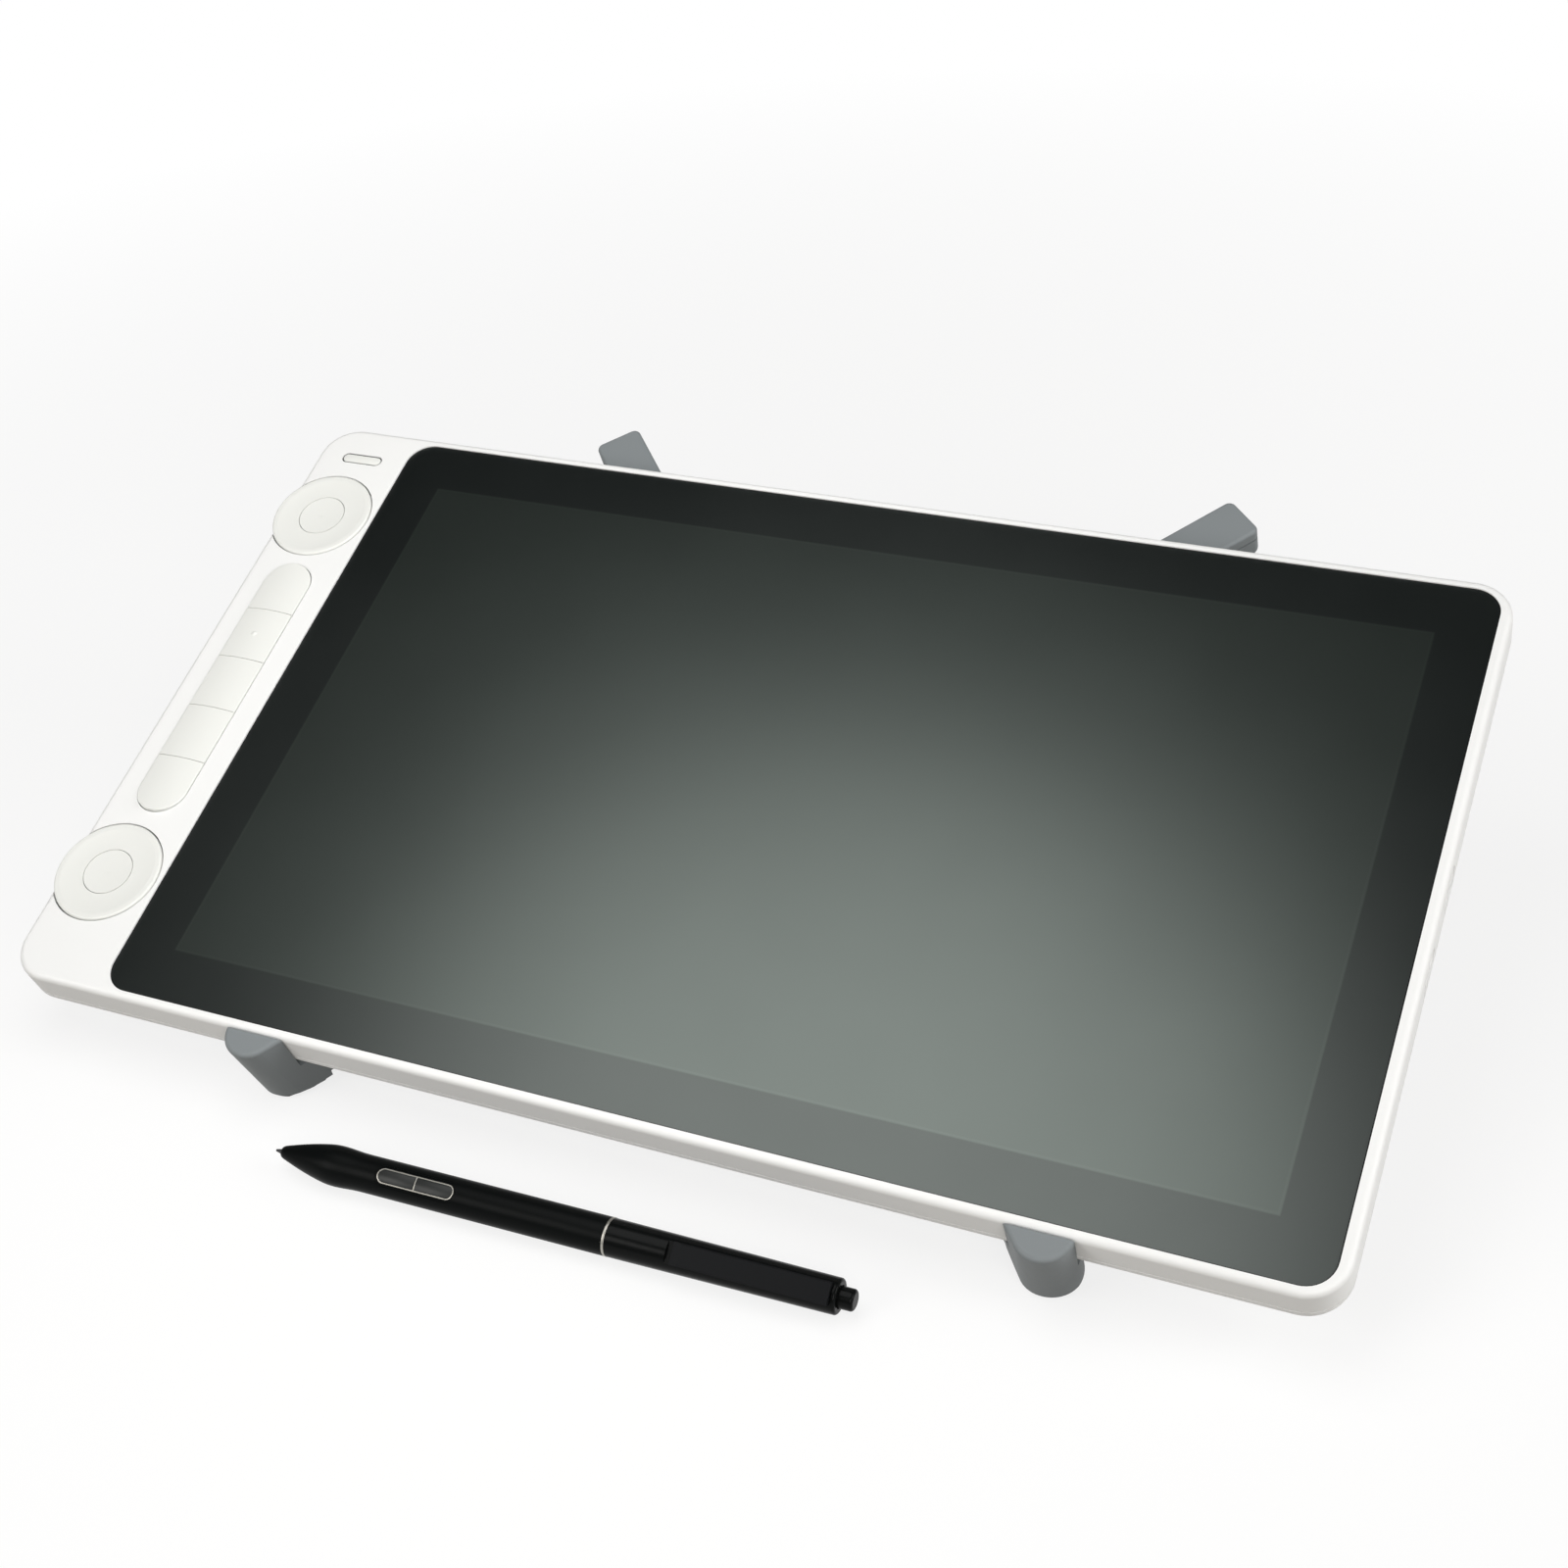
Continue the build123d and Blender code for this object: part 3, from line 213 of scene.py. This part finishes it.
def mouldedPlastic(name, values):
    material, shader = newMaterial(name)
    where = shader.place()
    grain = shader.noise(where, 1 / values["grain"], detail=3.0, rough=0.6)
    cloud = shader.noise(where, moulding["cloudScale"])
    share = moulding["cloudShare"]
    tone = shader.spread(cloud * share + grain * (1 - share), moulding["low"], moulding["high"], 0.0, 1.0)
    colour = shader.blend(tone, rgb(values["colour"], 1 - values["drift"]), rgb(values["colour"]))
    rough = shader.vary(grain, values["rough"], moulding["roughSpread"], moulding["roughSpread"])
    shader.finish({"Base Color": colour, "Roughness": rough, "Normal": shader.bump(grain, values["depth"]),
                   "Specular IOR Level": values["gloss"]})
    return material


# metals: the stretch is how many drawing or turning marks there are in a metre along X, Y and Z
metals = {
    "shield_steel": {"colour": (0.62, 0.62, 0.61), "rough": 0.35, "stretch": (6, 900, 900)},
    "port_steel": {"colour": (0.56, 0.56, 0.57), "rough": 0.28, "stretch": (40, 1800, 1800)},
    "screw_steel": {"colour": (0.5, 0.5, 0.51), "rough": 0.32, "stretch": (900, 900, 900)},
    "pin_steel": {"colour": (0.52, 0.52, 0.52), "rough": 0.3, "stretch": (1200, 1200, 60)},
    "pen_silver": {"colour": (0.44, 0.425, 0.385), "rough": 0.42, "stretch": (60, 2200, 2200)},
    "contact_gold": {"colour": (0.83, 0.6, 0.26), "rough": 0.28, "stretch": (300, 1800, 1800)},
    "coil_copper": {"colour": (0.62, 0.3, 0.13), "rough": 0.35, "stretch": (4000, 60, 60)},
}
# the marks' darkest shade, how far they change the roughness, and their depth
drawing = {"shade": 0.85, "smoother": 0.08, "rougher": 0.1, "depth": 0.000004}


def drawnMetal(name, values):
    material, shader = newMaterial(name)
    where = shader.place(penPlace if name in ("pen_silver", "coil_copper") else tabletPlace)
    stretched = shader.add("ShaderNodeMapping", {}, {"Vector": where, "Scale": values["stretch"]})
    marks = shader.noise(stretched, 1.0, detail=4.0, rough=0.7)
    colour = shader.blend(marks, rgb(values["colour"], drawing["shade"]), rgb(values["colour"]))
    rough = shader.vary(marks, values["rough"], drawing["smoother"], drawing["rougher"])
    normal = shader.bump(marks, drawing["depth"])
    shader.finish({"Base Color": colour, "Metallic": 1.0, "Roughness": rough, "Normal": normal})
    return material


# etched cover glass over the lit area of the panel, all in the tablet's own frame
glass = {
    "litWide": 0.2946, "litDeep": 0.1661, "litSoft": 0.0001,
    "litRight": 0.0003, "litFront": 0.00055,   # how far its middle is off the glass's middle
    "lineWide": 0.0007, "lineSoft": 0.0002,
    "lit": (0.0065, 0.0085, 0.0077),
    "border": (0.0012, 0.0022, 0.0024),
    "line": (0.007, 0.009, 0.008),
    "rough": 0.34,
    "grain": 0.00035, "grainRough": 0.015, "grainDepth": 0.000002,
    "smearScale": 14.0, "smearRough": 0.02,
    "ior": 1.55, "gloss": 1.0, "tint": (0.915, 1.0, 0.955),
    "coatIor": 1.63, "coatTint": (0.865, 1.0, 0.92), "litCoat": 0.46, "lineCoat": 0.62,
}


def etchedGlass(name):
    material, shader = newMaterial(name)
    where = shader.place(tabletPlace)
    across, along = shader.axes(where)[:2]
    across, along = across - glass["litRight"], along + glass["litFront"]
    wide, deep, line = glass["litWide"], glass["litDeep"], glass["lineWide"]
    lit = rectangleMask(shader, across, along, wide, deep, glass["litSoft"])
    outer = rectangleMask(shader, across, along, wide + 2 * line, deep + 2 * line, glass["lineSoft"])
    grain = shader.noise(where, 1 / glass["grain"], rough=0.6)
    smear = shader.noise(where, glass["smearScale"], detail=3.0, rough=0.55)
    colour = shader.blend(outer, rgb(glass["border"]), rgb(glass["line"]))
    colour = shader.blend(lit, colour, rgb(glass["lit"]))
    coat = lit * glass["litCoat"] + (outer - lit) * glass["lineCoat"]
    rough = glass["rough"] + shader.vary(grain, 0.0, glass["grainRough"], glass["grainRough"])
    rough = rough + shader.vary(smear, 0.0, glass["smearRough"], glass["smearRough"])
    normal = shader.bump(grain, glass["grainDepth"])
    shader.finish({"Base Color": colour, "Roughness": rough, "Normal": normal, "IOR": glass["ior"],
                   "Specular IOR Level": glass["gloss"], "Specular Tint": rgb(glass["tint"]),
                   "Coat Weight": coat, "Coat IOR": glass["coatIor"], "Coat Roughness": glass["rough"],
                   "Coat Tint": rgb(glass["coatTint"])})
    return material


# green boards with copper lines under the solder mask
boards = {
    "mask": (0.012, 0.075, 0.035), "copper": (0.03, 0.13, 0.06), "rough": 0.32,
    "cell": 0.008, "lines": 6.0,    # size of one cell of the pattern, and the lines in it
    "soft": 0.05, "depth": 0.00002,
}


def circuitBoard(name):
    material, shader = newMaterial(name)
    cells = shader.add("ShaderNodeTexVoronoi", {"feature": "F1", "distance": "MANHATTAN"},
                       {"Vector": shader.place(tabletPlace), "Scale": 1 / boards["cell"]}, "Distance")
    waves = shader.add("ShaderNodeMath", {"operation": "FRACT"}, {0: cells * boards["lines"]})
    track = shader.spread(waves, 0.5 - boards["soft"], 0.5 + boards["soft"], 0.0, 1.0)
    colour = shader.blend(track, rgb(boards["mask"]), rgb(boards["copper"]))
    normal = shader.bump(track, boards["depth"])
    shader.finish({"Base Color": colour, "Roughness": boards["rough"], "Normal": normal})
    return material


# amber film with the tracks of the flat cables showing through
flex = {
    "film": (0.42, 0.19, 0.04), "track": (0.55, 0.3, 0.1), "rough": 0.3,
    "pitch": 0.0005, "soft": 0.2, "depth": 0.00003,
}


def flexFilm(name):
    material, shader = newMaterial(name)
    across, along = shader.axes(shader.place(tabletPlace))[:2]
    wave = (across + along) * (2 * pi / flex["pitch"])
    tracks = shader.add("ShaderNodeMath", {"operation": "SINE"}, {0: wave})
    mask = shader.spread(tracks, -flex["soft"], flex["soft"], 0.0, 1.0)
    colour = shader.blend(mask, rgb(flex["film"]), rgb(flex["track"]))
    normal = shader.bump(mask, flex["depth"])
    shader.finish({"Base Color": colour, "Roughness": flex["rough"], "Normal": normal})
    return material


# black back of the panel and its light guide
panel = {
    "colour": (0.012, 0.012, 0.013), "shade": 0.8, "rough": 0.22, "roughSpread": 0.05,
    "grain": 0.002, "depth": 0.000003,
}


def panelBlack(name):
    material, shader = newMaterial(name)
    grain = shader.noise(shader.place(), 1 / panel["grain"], detail=3.0, rough=0.6)
    colour = shader.blend(grain, rgb(panel["colour"], panel["shade"]), rgb(panel["colour"]))
    rough = shader.vary(grain, panel["rough"], panel["roughSpread"], panel["roughSpread"])
    shader.finish({"Base Color": colour, "Roughness": rough, "Normal": shader.bump(grain, panel["depth"])})
    return material


materials = {name: mouldedPlastic(name, values) for name, values in plastics.items()}
materials.update({name: drawnMetal(name, values) for name, values in metals.items()})
materials["screen_glass"] = etchedGlass("screen_glass")
materials["board_green"] = circuitBoard("board_green")
materials["flex_amber"] = flexFilm("flex_amber")
materials["display_black"] = panelBlack("display_black")

for subpart in frame["record"]["subparts"]:
    mesh = frame["nodes"][subpart["node"]].data
    mesh.materials.clear()
    mesh.materials.append(materials[subpart["material_slot"]])


# how finely new pieces are rounded
shaping = {"cornerSteps": 18, "barSides": 96, "edgeSteps": 3, "edgeAngle": radians(40), "smooth": radians(32),
           "merge": 0.000001}


def namePiece(name):
    # names the primitive that was just added
    piece = bpy.context.object
    piece.name = name
    piece.data.name = name
    return piece


def makeActive(piece):
    bpy.ops.object.select_all(action="DESELECT")
    piece.select_set(True)
    bpy.context.view_layer.objects.active = piece


def roundedPrism(name, wide, deep, corner, low, high, middle=(0, 0)):
    # upright block with rounded upright edges
    bpy.ops.object.select_all(action="DESELECT")
    bpy.ops.mesh.primitive_cube_add(size=1, location=(middle[0], middle[1], (low + high) / 2))
    piece = namePiece(name)
    piece.scale = (wide, deep, high - low)
    bpy.ops.object.transform_apply(location=True, rotation=True, scale=True)
    bpy.ops.object.mode_set(mode="EDIT")
    bpy.ops.mesh.select_mode(type="EDGE")
    bpy.ops.mesh.select_all(action="DESELECT")
    bpy.ops.object.mode_set(mode="OBJECT")
    points = piece.data.vertices
    for edge in piece.data.edges:
        start, end = [points[index].co for index in edge.vertices]
        edge.select = abs(start.z - end.z) > (high - low) / 2
    bpy.ops.object.mode_set(mode="EDIT")
    bpy.ops.mesh.bevel(offset=corner, segments=shaping["cornerSteps"], affect="EDGES")
    bpy.ops.mesh.select_all(action="SELECT")
    bpy.ops.mesh.remove_doubles(threshold=shaping["merge"])
    bpy.ops.object.mode_set(mode="OBJECT")
    return piece


def roundBar(name, radius, start, end):
    # bar along X, about the pen's axis
    bpy.ops.object.select_all(action="DESELECT")
    bpy.ops.mesh.primitive_cylinder_add(vertices=shaping["barSides"], radius=radius, depth=end - start,
                                        location=((start + end) / 2, 0, 0), rotation=(0, pi / 2, 0))
    piece = namePiece(name)
    bpy.ops.object.transform_apply(location=True, rotation=True, scale=True)
    return piece


def runModifier(piece, kind, settings):
    makeActive(piece)
    modifier = piece.modifiers.new(kind.lower(), kind)
    for name, value in settings.items():
        setattr(modifier, name, value)
    bpy.ops.object.modifier_apply(modifier=modifier.name)


def carve(piece, tool, operation="DIFFERENCE"):
    # cuts a piece with another, or joins or keeps what they share, and drops the other
    runModifier(piece, "BOOLEAN", {"operation": operation, "solver": "EXACT", "object": tool})
    bpy.data.objects.remove(tool)
    return piece


def softenEdges(piece, width):
    runModifier(piece, "BEVEL", {"width": width, "segments": shaping["edgeSteps"], "limit_method": "ANGLE",
                                 "angle_limit": shaping["edgeAngle"]})


def finishPiece(piece, place, body, slot, replaced=()):
    # puts a piece in its place, dresses it and tells the frame what carries it
    makeActive(piece)
    piece.matrix_world = place
    bpy.ops.object.transform_apply(location=True, rotation=True, scale=True)
    bpy.ops.object.shade_smooth_by_angle(angle=shaping["smooth"])
    piece.data.materials.clear()
    piece.data.materials.append(materials[slot])
    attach(piece, body)
    if replaced:
        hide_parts(*replaced)


# pen grip: place along the pen and radius, from the mouth round the nib to the ring and back inside
grip = {
    "outside": (
        (0.0021, 0.00125), (0.0023, 0.00145), (0.0028, 0.0017), (0.004, 0.00208), (0.006, 0.00268),
        (0.008, 0.00324), (0.010, 0.00376), (0.012, 0.00423), (0.014, 0.00464), (0.0155, 0.0049),
        (0.0167, 0.00506), (0.018, 0.00514), (0.0193, 0.00514), (0.021, 0.00506), (0.0228, 0.00492),
        (0.0245, 0.00481), (0.0262, 0.00475), (0.0942, 0.00475),
    ),
    "inside": (
        (0.0942, 0.0041), (0.0888, 0.0041), (0.0888, 0.0035), (0.014, 0.0035), (0.014, 0.00095),
        (0.0021, 0.00095),
    ),
    "sides": 72,
}
# opening for the side buttons, with the shallow hollow round it, the thin frame and the two buttons
pill = {
    "middle": 0.0428, "long": 0.0214, "wide": 0.0038, "gap": 0.00012, "floor": 0.0032, "high": 0.006,
    "hollow": 0.00075, "hollowRadius": 0.00462,
    "line": 0.00024, "lineRadius": 0.00482, "lineLow": 0.0033,
    "buttonGap": 0.00008, "buttonRadius": 0.00497, "buttonLow": 0.0037, "buttonEdge": 0.00012,
    "skin": (0.02, 0.07),   # from where to where the round bars that trim these run
    "half": {"long": 0.04, "wide": 0.01, "corner": 0.001, "high": 0.01},   # block that cuts one button off
}


def pillBlock(name, margin, low):
    long, wide = pill["long"] + 2 * margin, pill["wide"] + 2 * margin
    return roundedPrism(name, long, wide, wide / 2, low, pill["high"], (pill["middle"], 0))


def pillSkin(piece, radius):
    # keeps what lies within this radius of the pen's axis
    return carve(piece, roundBar("skin", radius, *pill["skin"]), "INTERSECT")


def makeGrip():
    stations = grip["outside"] + grip["inside"]
    along, radius = stations[0]
    bpy.ops.object.select_all(action="DESELECT")
    bpy.ops.mesh.primitive_circle_add(vertices=grip["sides"], radius=radius, location=(along, 0, 0),
                                      rotation=(0, pi / 2, 0))
    piece = namePiece("pen_grip_body")
    bpy.ops.object.transform_apply(location=True, rotation=True, scale=True)
    bpy.ops.object.mode_set(mode="EDIT")
    bpy.ops.mesh.select_mode(type="EDGE")
    bpy.ops.mesh.select_all(action="SELECT")
    for nextAlong, nextRadius in stations[1:]:
        bpy.ops.mesh.extrude_region_move(TRANSFORM_OT_translate={"value": (nextAlong - along, 0, 0)})
        share = nextRadius / radius
        bpy.ops.transform.resize(value=(1, share, share), center_override=(nextAlong, 0, 0))
        along, radius = nextAlong, nextRadius
    bpy.ops.mesh.select_all(action="DESELECT")
    bpy.ops.mesh.select_non_manifold()
    bpy.ops.mesh.bridge_edge_loops()
    bpy.ops.mesh.select_all(action="SELECT")
    bpy.ops.mesh.normals_make_consistent(inside=False)
    bpy.ops.object.mode_set(mode="OBJECT")
    hollow = carve(pillBlock("hollow", pill["hollow"], pill["floor"]),
                   roundBar("hollow_bar", pill["hollowRadius"], *pill["skin"]))
    carve(piece, hollow)
    carve(piece, pillBlock("opening", pill["gap"], pill["floor"]))
    finishPiece(piece, pillPlace, "pen", "pen_matt_black", ("pen_grip",))


def makeSideButtons():
    # thin frame with a bridge in its middle, and the two rocker buttons inside it
    line, low = pill["line"], pill["lineLow"]
    rim = carve(pillBlock("pen_button_line", 0, low), pillBlock("inner", -line, pill["floor"] - line))
    pillSkin(rim, pill["lineRadius"])
    bridge = roundedPrism("bridge", line, pill["wide"] - line, line / 4, low, pill["high"],
                          (pill["middle"], 0))
    carve(rim, pillSkin(bridge, pill["lineRadius"]), "UNION")
    finishPiece(rim, pillPlace, "pen", "pen_silver", ("pen_button_frame",))
    half = pill["half"]
    reach = half["long"] / 2 - line / 2 - pill["buttonGap"]
    for side, name, body in ((-1, "front", "pen_side_button_front"), (1, "rear", "pen_side_button_rear")):
        button = pillBlock("side_button_" + name, -line - pill["buttonGap"], pill["buttonLow"])
        away = (pill["middle"] - side * reach, 0)
        carve(button, roundedPrism("half", half["long"], half["wide"], half["corner"], 0, half["high"], away))
        pillSkin(button, pill["buttonRadius"])
        softenEdges(button, pill["buttonEdge"])
        finishPiece(button, pillPlace, body, "pen_button_black", (body,))


# slim bright ring between the grip and the barrel
ringBand = {
    "from": 0.09422, "to": 0.09488, "radius": 0.00478, "edge": 0.00008,
    "hole": 0.0041, "holeFrom": 0.09, "holeTo": 0.1,
}


def makeRing():
    piece = roundBar("pen_ring_band", ringBand["radius"], ringBand["from"], ringBand["to"])
    carve(piece, roundBar("hole", ringBand["hole"], ringBand["holeFrom"], ringBand["holeTo"]))
    softenEdges(piece, ringBand["edge"])
    finishPiece(piece, pillPlace, "pen", "pen_silver", ("pen_ring",))


def makeFrame(name, outer, inner):
    # upright frame: each outline is wide, deep, corner, low, high and middle
    return carve(roundedPrism(name, *outer), roundedPrism("inner", *inner))


# power button in its bezel, in the tablet's frame, with a dark ring down in the gap round the button: painted
# shade standing in for the gap's shadow
power = {
    "middle": (-0.1781, 0.08994), "long": 0.01305, "wide": 0.0029, "gap": 0.00045, "edge": 0.0002,
    "bezelMiddle": (-0.1786, 0.0898), "bezelLong": 0.0159, "bezelWide": 0.0055, "bezelTop": 0.00042,
    "low": -0.0014, "top": 0.00046, "shadeRingTop": 0.00012, "shadeRingClearance": 0.00003, "cut": 0.001,
}


def powerOutline(margin, low, high):
    long, wide = power["long"] + 2 * margin, power["wide"] + 2 * margin
    return (long, wide, wide / 2, low, high, power["middle"])


def makePowerButton():
    low, cut = power["low"], power["cut"]
    outer = (power["bezelLong"], power["bezelWide"], power["bezelWide"] / 2, low, power["bezelTop"],
             power["bezelMiddle"])
    opening = powerOutline(power["gap"], low - cut, power["bezelTop"] + cut)
    finishPiece(makeFrame("power_bezel", outer, opening), tabletPlace, "tablet", "case_white")
    # dark ring down in the gap round the button: painted shade, standing in for the shadow in that gap
    outer = powerOutline(power["gap"], low, power["shadeRingTop"])
    opening = powerOutline(power["shadeRingClearance"], low - cut, power["shadeRingTop"] + cut)
    finishPiece(makeFrame("power_gap_shade_ring", outer, opening), tabletPlace, "tablet", "foot_rubber")
    button = roundedPrism("power_button_cap", *powerOutline(0, low, power["top"]))
    softenEdges(button, power["edge"])
    finishPiece(button, tabletPlace, "power_button", "key_white", ("power_button",))


# black ring along the cover glass's edge: painted shade, standing in for the shadow in the gap between the
# glass and the rim
glassGapShade = {
    "wide": 0.3258, "deep": 0.1983, "corner": 0.0075, "out": 0.00013, "in": 0.00032,
    "low": -0.0003, "top": 0.00003, "cut": 0.001,
}


def glassGapShadeOutline(margin, drop):
    wide, deep = glassGapShade["wide"] + 2 * margin, glassGapShade["deep"] + 2 * margin
    return (wide, deep, glassGapShade["corner"] + margin, glassGapShade["low"] - drop, glassGapShade["top"] + drop)


def makeGlassGapShade():
    piece = makeFrame("glass_gap_shade", glassGapShadeOutline(glassGapShade["out"], 0), glassGapShadeOutline(-glassGapShade["in"], glassGapShade["cut"]))
    finishPiece(piece, tabletPlace, "tablet", "component_black")


# gold contacts on both faces of each port's tongue
contacts = {
    "places": (-0.0125, 0.0114), "inner": 0.1608, "outer": 0.1640, "height": -0.0059, "tongue": 0.0007,
    "pitch": 0.0005, "count": 12, "wide": 0.00026, "thick": 0.00006,
}


def makeContacts():
    long, wide = contacts["outer"] - contacts["inner"], contacts["wide"]
    low = contacts["tongue"] / 2 - contacts["thick"] / 2
    first = ((contacts["outer"] + contacts["inner"]) / 2, -contacts["pitch"] * (contacts["count"] - 1) / 2)
    for number, place in enumerate(contacts["places"], 1):
        name = "port_contacts_%d" % number
        piece = roundedPrism(name, long, wide, wide / 4, low, low + contacts["thick"], first)
        runModifier(piece, "ARRAY", {"count": contacts["count"], "use_relative_offset": False,
                                     "use_constant_offset": True,
                                     "constant_offset_displace": (0, contacts["pitch"], 0)})
        runModifier(piece, "MIRROR", {"use_axis": (False, False, True)})
        shift = Matrix.Translation((0, place, contacts["height"]))
        finishPiece(piece, tabletPlace @ shift, "tablet", "port_steel")
        piece.data.materials[0] = materials["contact_gold"]   # plated, so not the steel of its slot


makeGrip()
makeSideButtons()
makeRing()
makePowerButton()
makeGlassGapShade()
makeContacts()
print("pieces modelled")


# white table: it keeps the shadows and turns into the plain white background further out;
# the glow is how much of that white it has near the middle
floor = {
    "size": 14.0,
    "drop": 0.0001,
    "colour": (0.93, 0.93, 0.925),
    "bounce": (0.17, 0.15, 0.12),   # what it throws back onto the object
    "nearWhite": 0.25,
    "farWhite": 0.75,
    "glow": 0.78,
}


def seenRays(shader, *names):
    # 1 for the rays of these kinds
    path = shader.add("ShaderNodeLightPath", {}, {}).socket.node
    seen = Value(shader, path.outputs[names[0]])
    for name in names[1:]:
        seen = seen + Value(shader, path.outputs[name])
    return seen


def makeFloor():
    bpy.ops.mesh.primitive_plane_add(size=floor["size"], location=(0, 0, -floor["drop"]))
    sheet = namePiece("table_top")
    bpy.ops.object.transform_apply(location=True, rotation=True, scale=True)
    material, shader = newMaterial("table_white")
    seen = seenRays(shader, "Is Camera Ray", "Is Glossy Ray", "Is Transmission Ray")
    away = shader.add("ShaderNodeVectorMath", {"operation": "LENGTH"}, {0: shader.place()}, 1)
    far = shader.spread(away, floor["nearWhite"], floor["farWhite"], floor["glow"], 1.0)
    paper = shader.add("ShaderNodeBsdfDiffuse", {}, {"Color": rgb(floor["colour"])})
    white = shader.add("ShaderNodeEmission", {}, {"Color": rgb((1, 1, 1)), "Strength": 1.0})
    shown = shader.add("ShaderNodeMixShader", {}, {0: far, 1: paper, 2: white})
    thrown = shader.add("ShaderNodeBsdfDiffuse", {}, {"Color": rgb(floor["bounce"])})
    mixed = shader.add("ShaderNodeMixShader", {}, {0: seen, 1: thrown, 2: shown})
    shader.add("ShaderNodeOutputMaterial", {}, {"Surface": mixed})
    sheet.data.materials.append(material)


makeFloor()
print("table made")


# soft lamps: place, width, power and colour; they all point at the tablet
lamps = {
    "overTablet": {"place": (-0.058, -0.099, 0.418), "wide": 0.394, "power": 0.97, "colour": (1, 1, 0.99)},
    "frontRight": {"place": (0.95, -1.35, 1.0), "wide": 1.0, "power": 15.0, "colour": (1, 0.985, 0.96)},
    "frontLeft": {"place": (-1.0, -1.3, 1.0), "wide": 1.0, "power": 13.0, "colour": (1, 0.985, 0.96)},
    "rightWindow": {"place": (1.6, 0.25, 0.75), "wide": 1.1, "power": 16.5, "colour": (1, 1, 0.99)},
}
# dim room, lighter near the horizon, and white where the camera looks into it
sky = {"ceiling": 0.015, "horizon": 0.26, "low": 0.1, "high": 0.5, "seen": 1.0}


def makeLamps():
    for name, values in lamps.items():
        place = Vector(values["place"])
        aim = tabletPlace.translation - place
        turn = aim.to_track_quat("-Z", "Y").to_euler()
        bpy.ops.object.light_add(type="AREA", location=place, rotation=turn)
        lamp = bpy.context.object
        lamp.name = name
        lamp.visible_camera = False
        lamp.data.shape = "DISK"
        lamp.data.size = values["wide"]
        lamp.data.energy = values["power"]
        lamp.data.color = values["colour"]


def makeSky():
    world = bpy.data.worlds.new("studio")
    bpy.context.scene.world = world
    shader = Shader(world)
    up = shader.axes(shader.add("ShaderNodeTexCoord", {}, {}, "Generated"))[2]
    level = shader.spread(abs(up), sky["low"], sky["high"], sky["horizon"], sky["ceiling"])
    camera = seenRays(shader, "Is Camera Ray")
    strength = level * (1 - camera) + sky["seen"] * camera
    light = shader.add("ShaderNodeBackground", {}, {"Color": rgb((1, 1, 1)), "Strength": strength})
    shader.add("ShaderNodeOutputWorld", {}, {"Surface": light})


makeLamps()
makeSky()
print("lamps and sky set")


# the photograph's view, solved in the tablet's frame, in metres
view = {
    "place": (0.21353, -0.29471, 0.47383),
    "right": (0.91664, 0.34406, -0.20345),
    "down": (0.17115, -0.79782, -0.57810),
    "forward": (-0.36121, 0.49509, -0.79020),
    "lens": 52.48,
    "sensor": 36.0,
    "near": 0.01,
    "far": 50.0,
}


def makeCamera():
    bpy.ops.object.camera_add()
    camera = bpy.context.object
    camera.name = "photo_view"
    columns = [Vector(view["right"]), -Vector(view["down"]), -Vector(view["forward"])]
    turn = Matrix(columns).transposed().to_4x4()
    camera.matrix_world = tabletPlace @ Matrix.Translation(view["place"]) @ turn
    camera.data.sensor_fit = "HORIZONTAL"
    camera.data.sensor_width = view["sensor"]
    camera.data.lens = view["lens"]
    camera.data.clip_start = view["near"]
    camera.data.clip_end = view["far"]
    bpy.context.scene.camera = camera


makeCamera()
bpy.context.scene.view_settings.view_transform = "Standard"
print("camera placed")
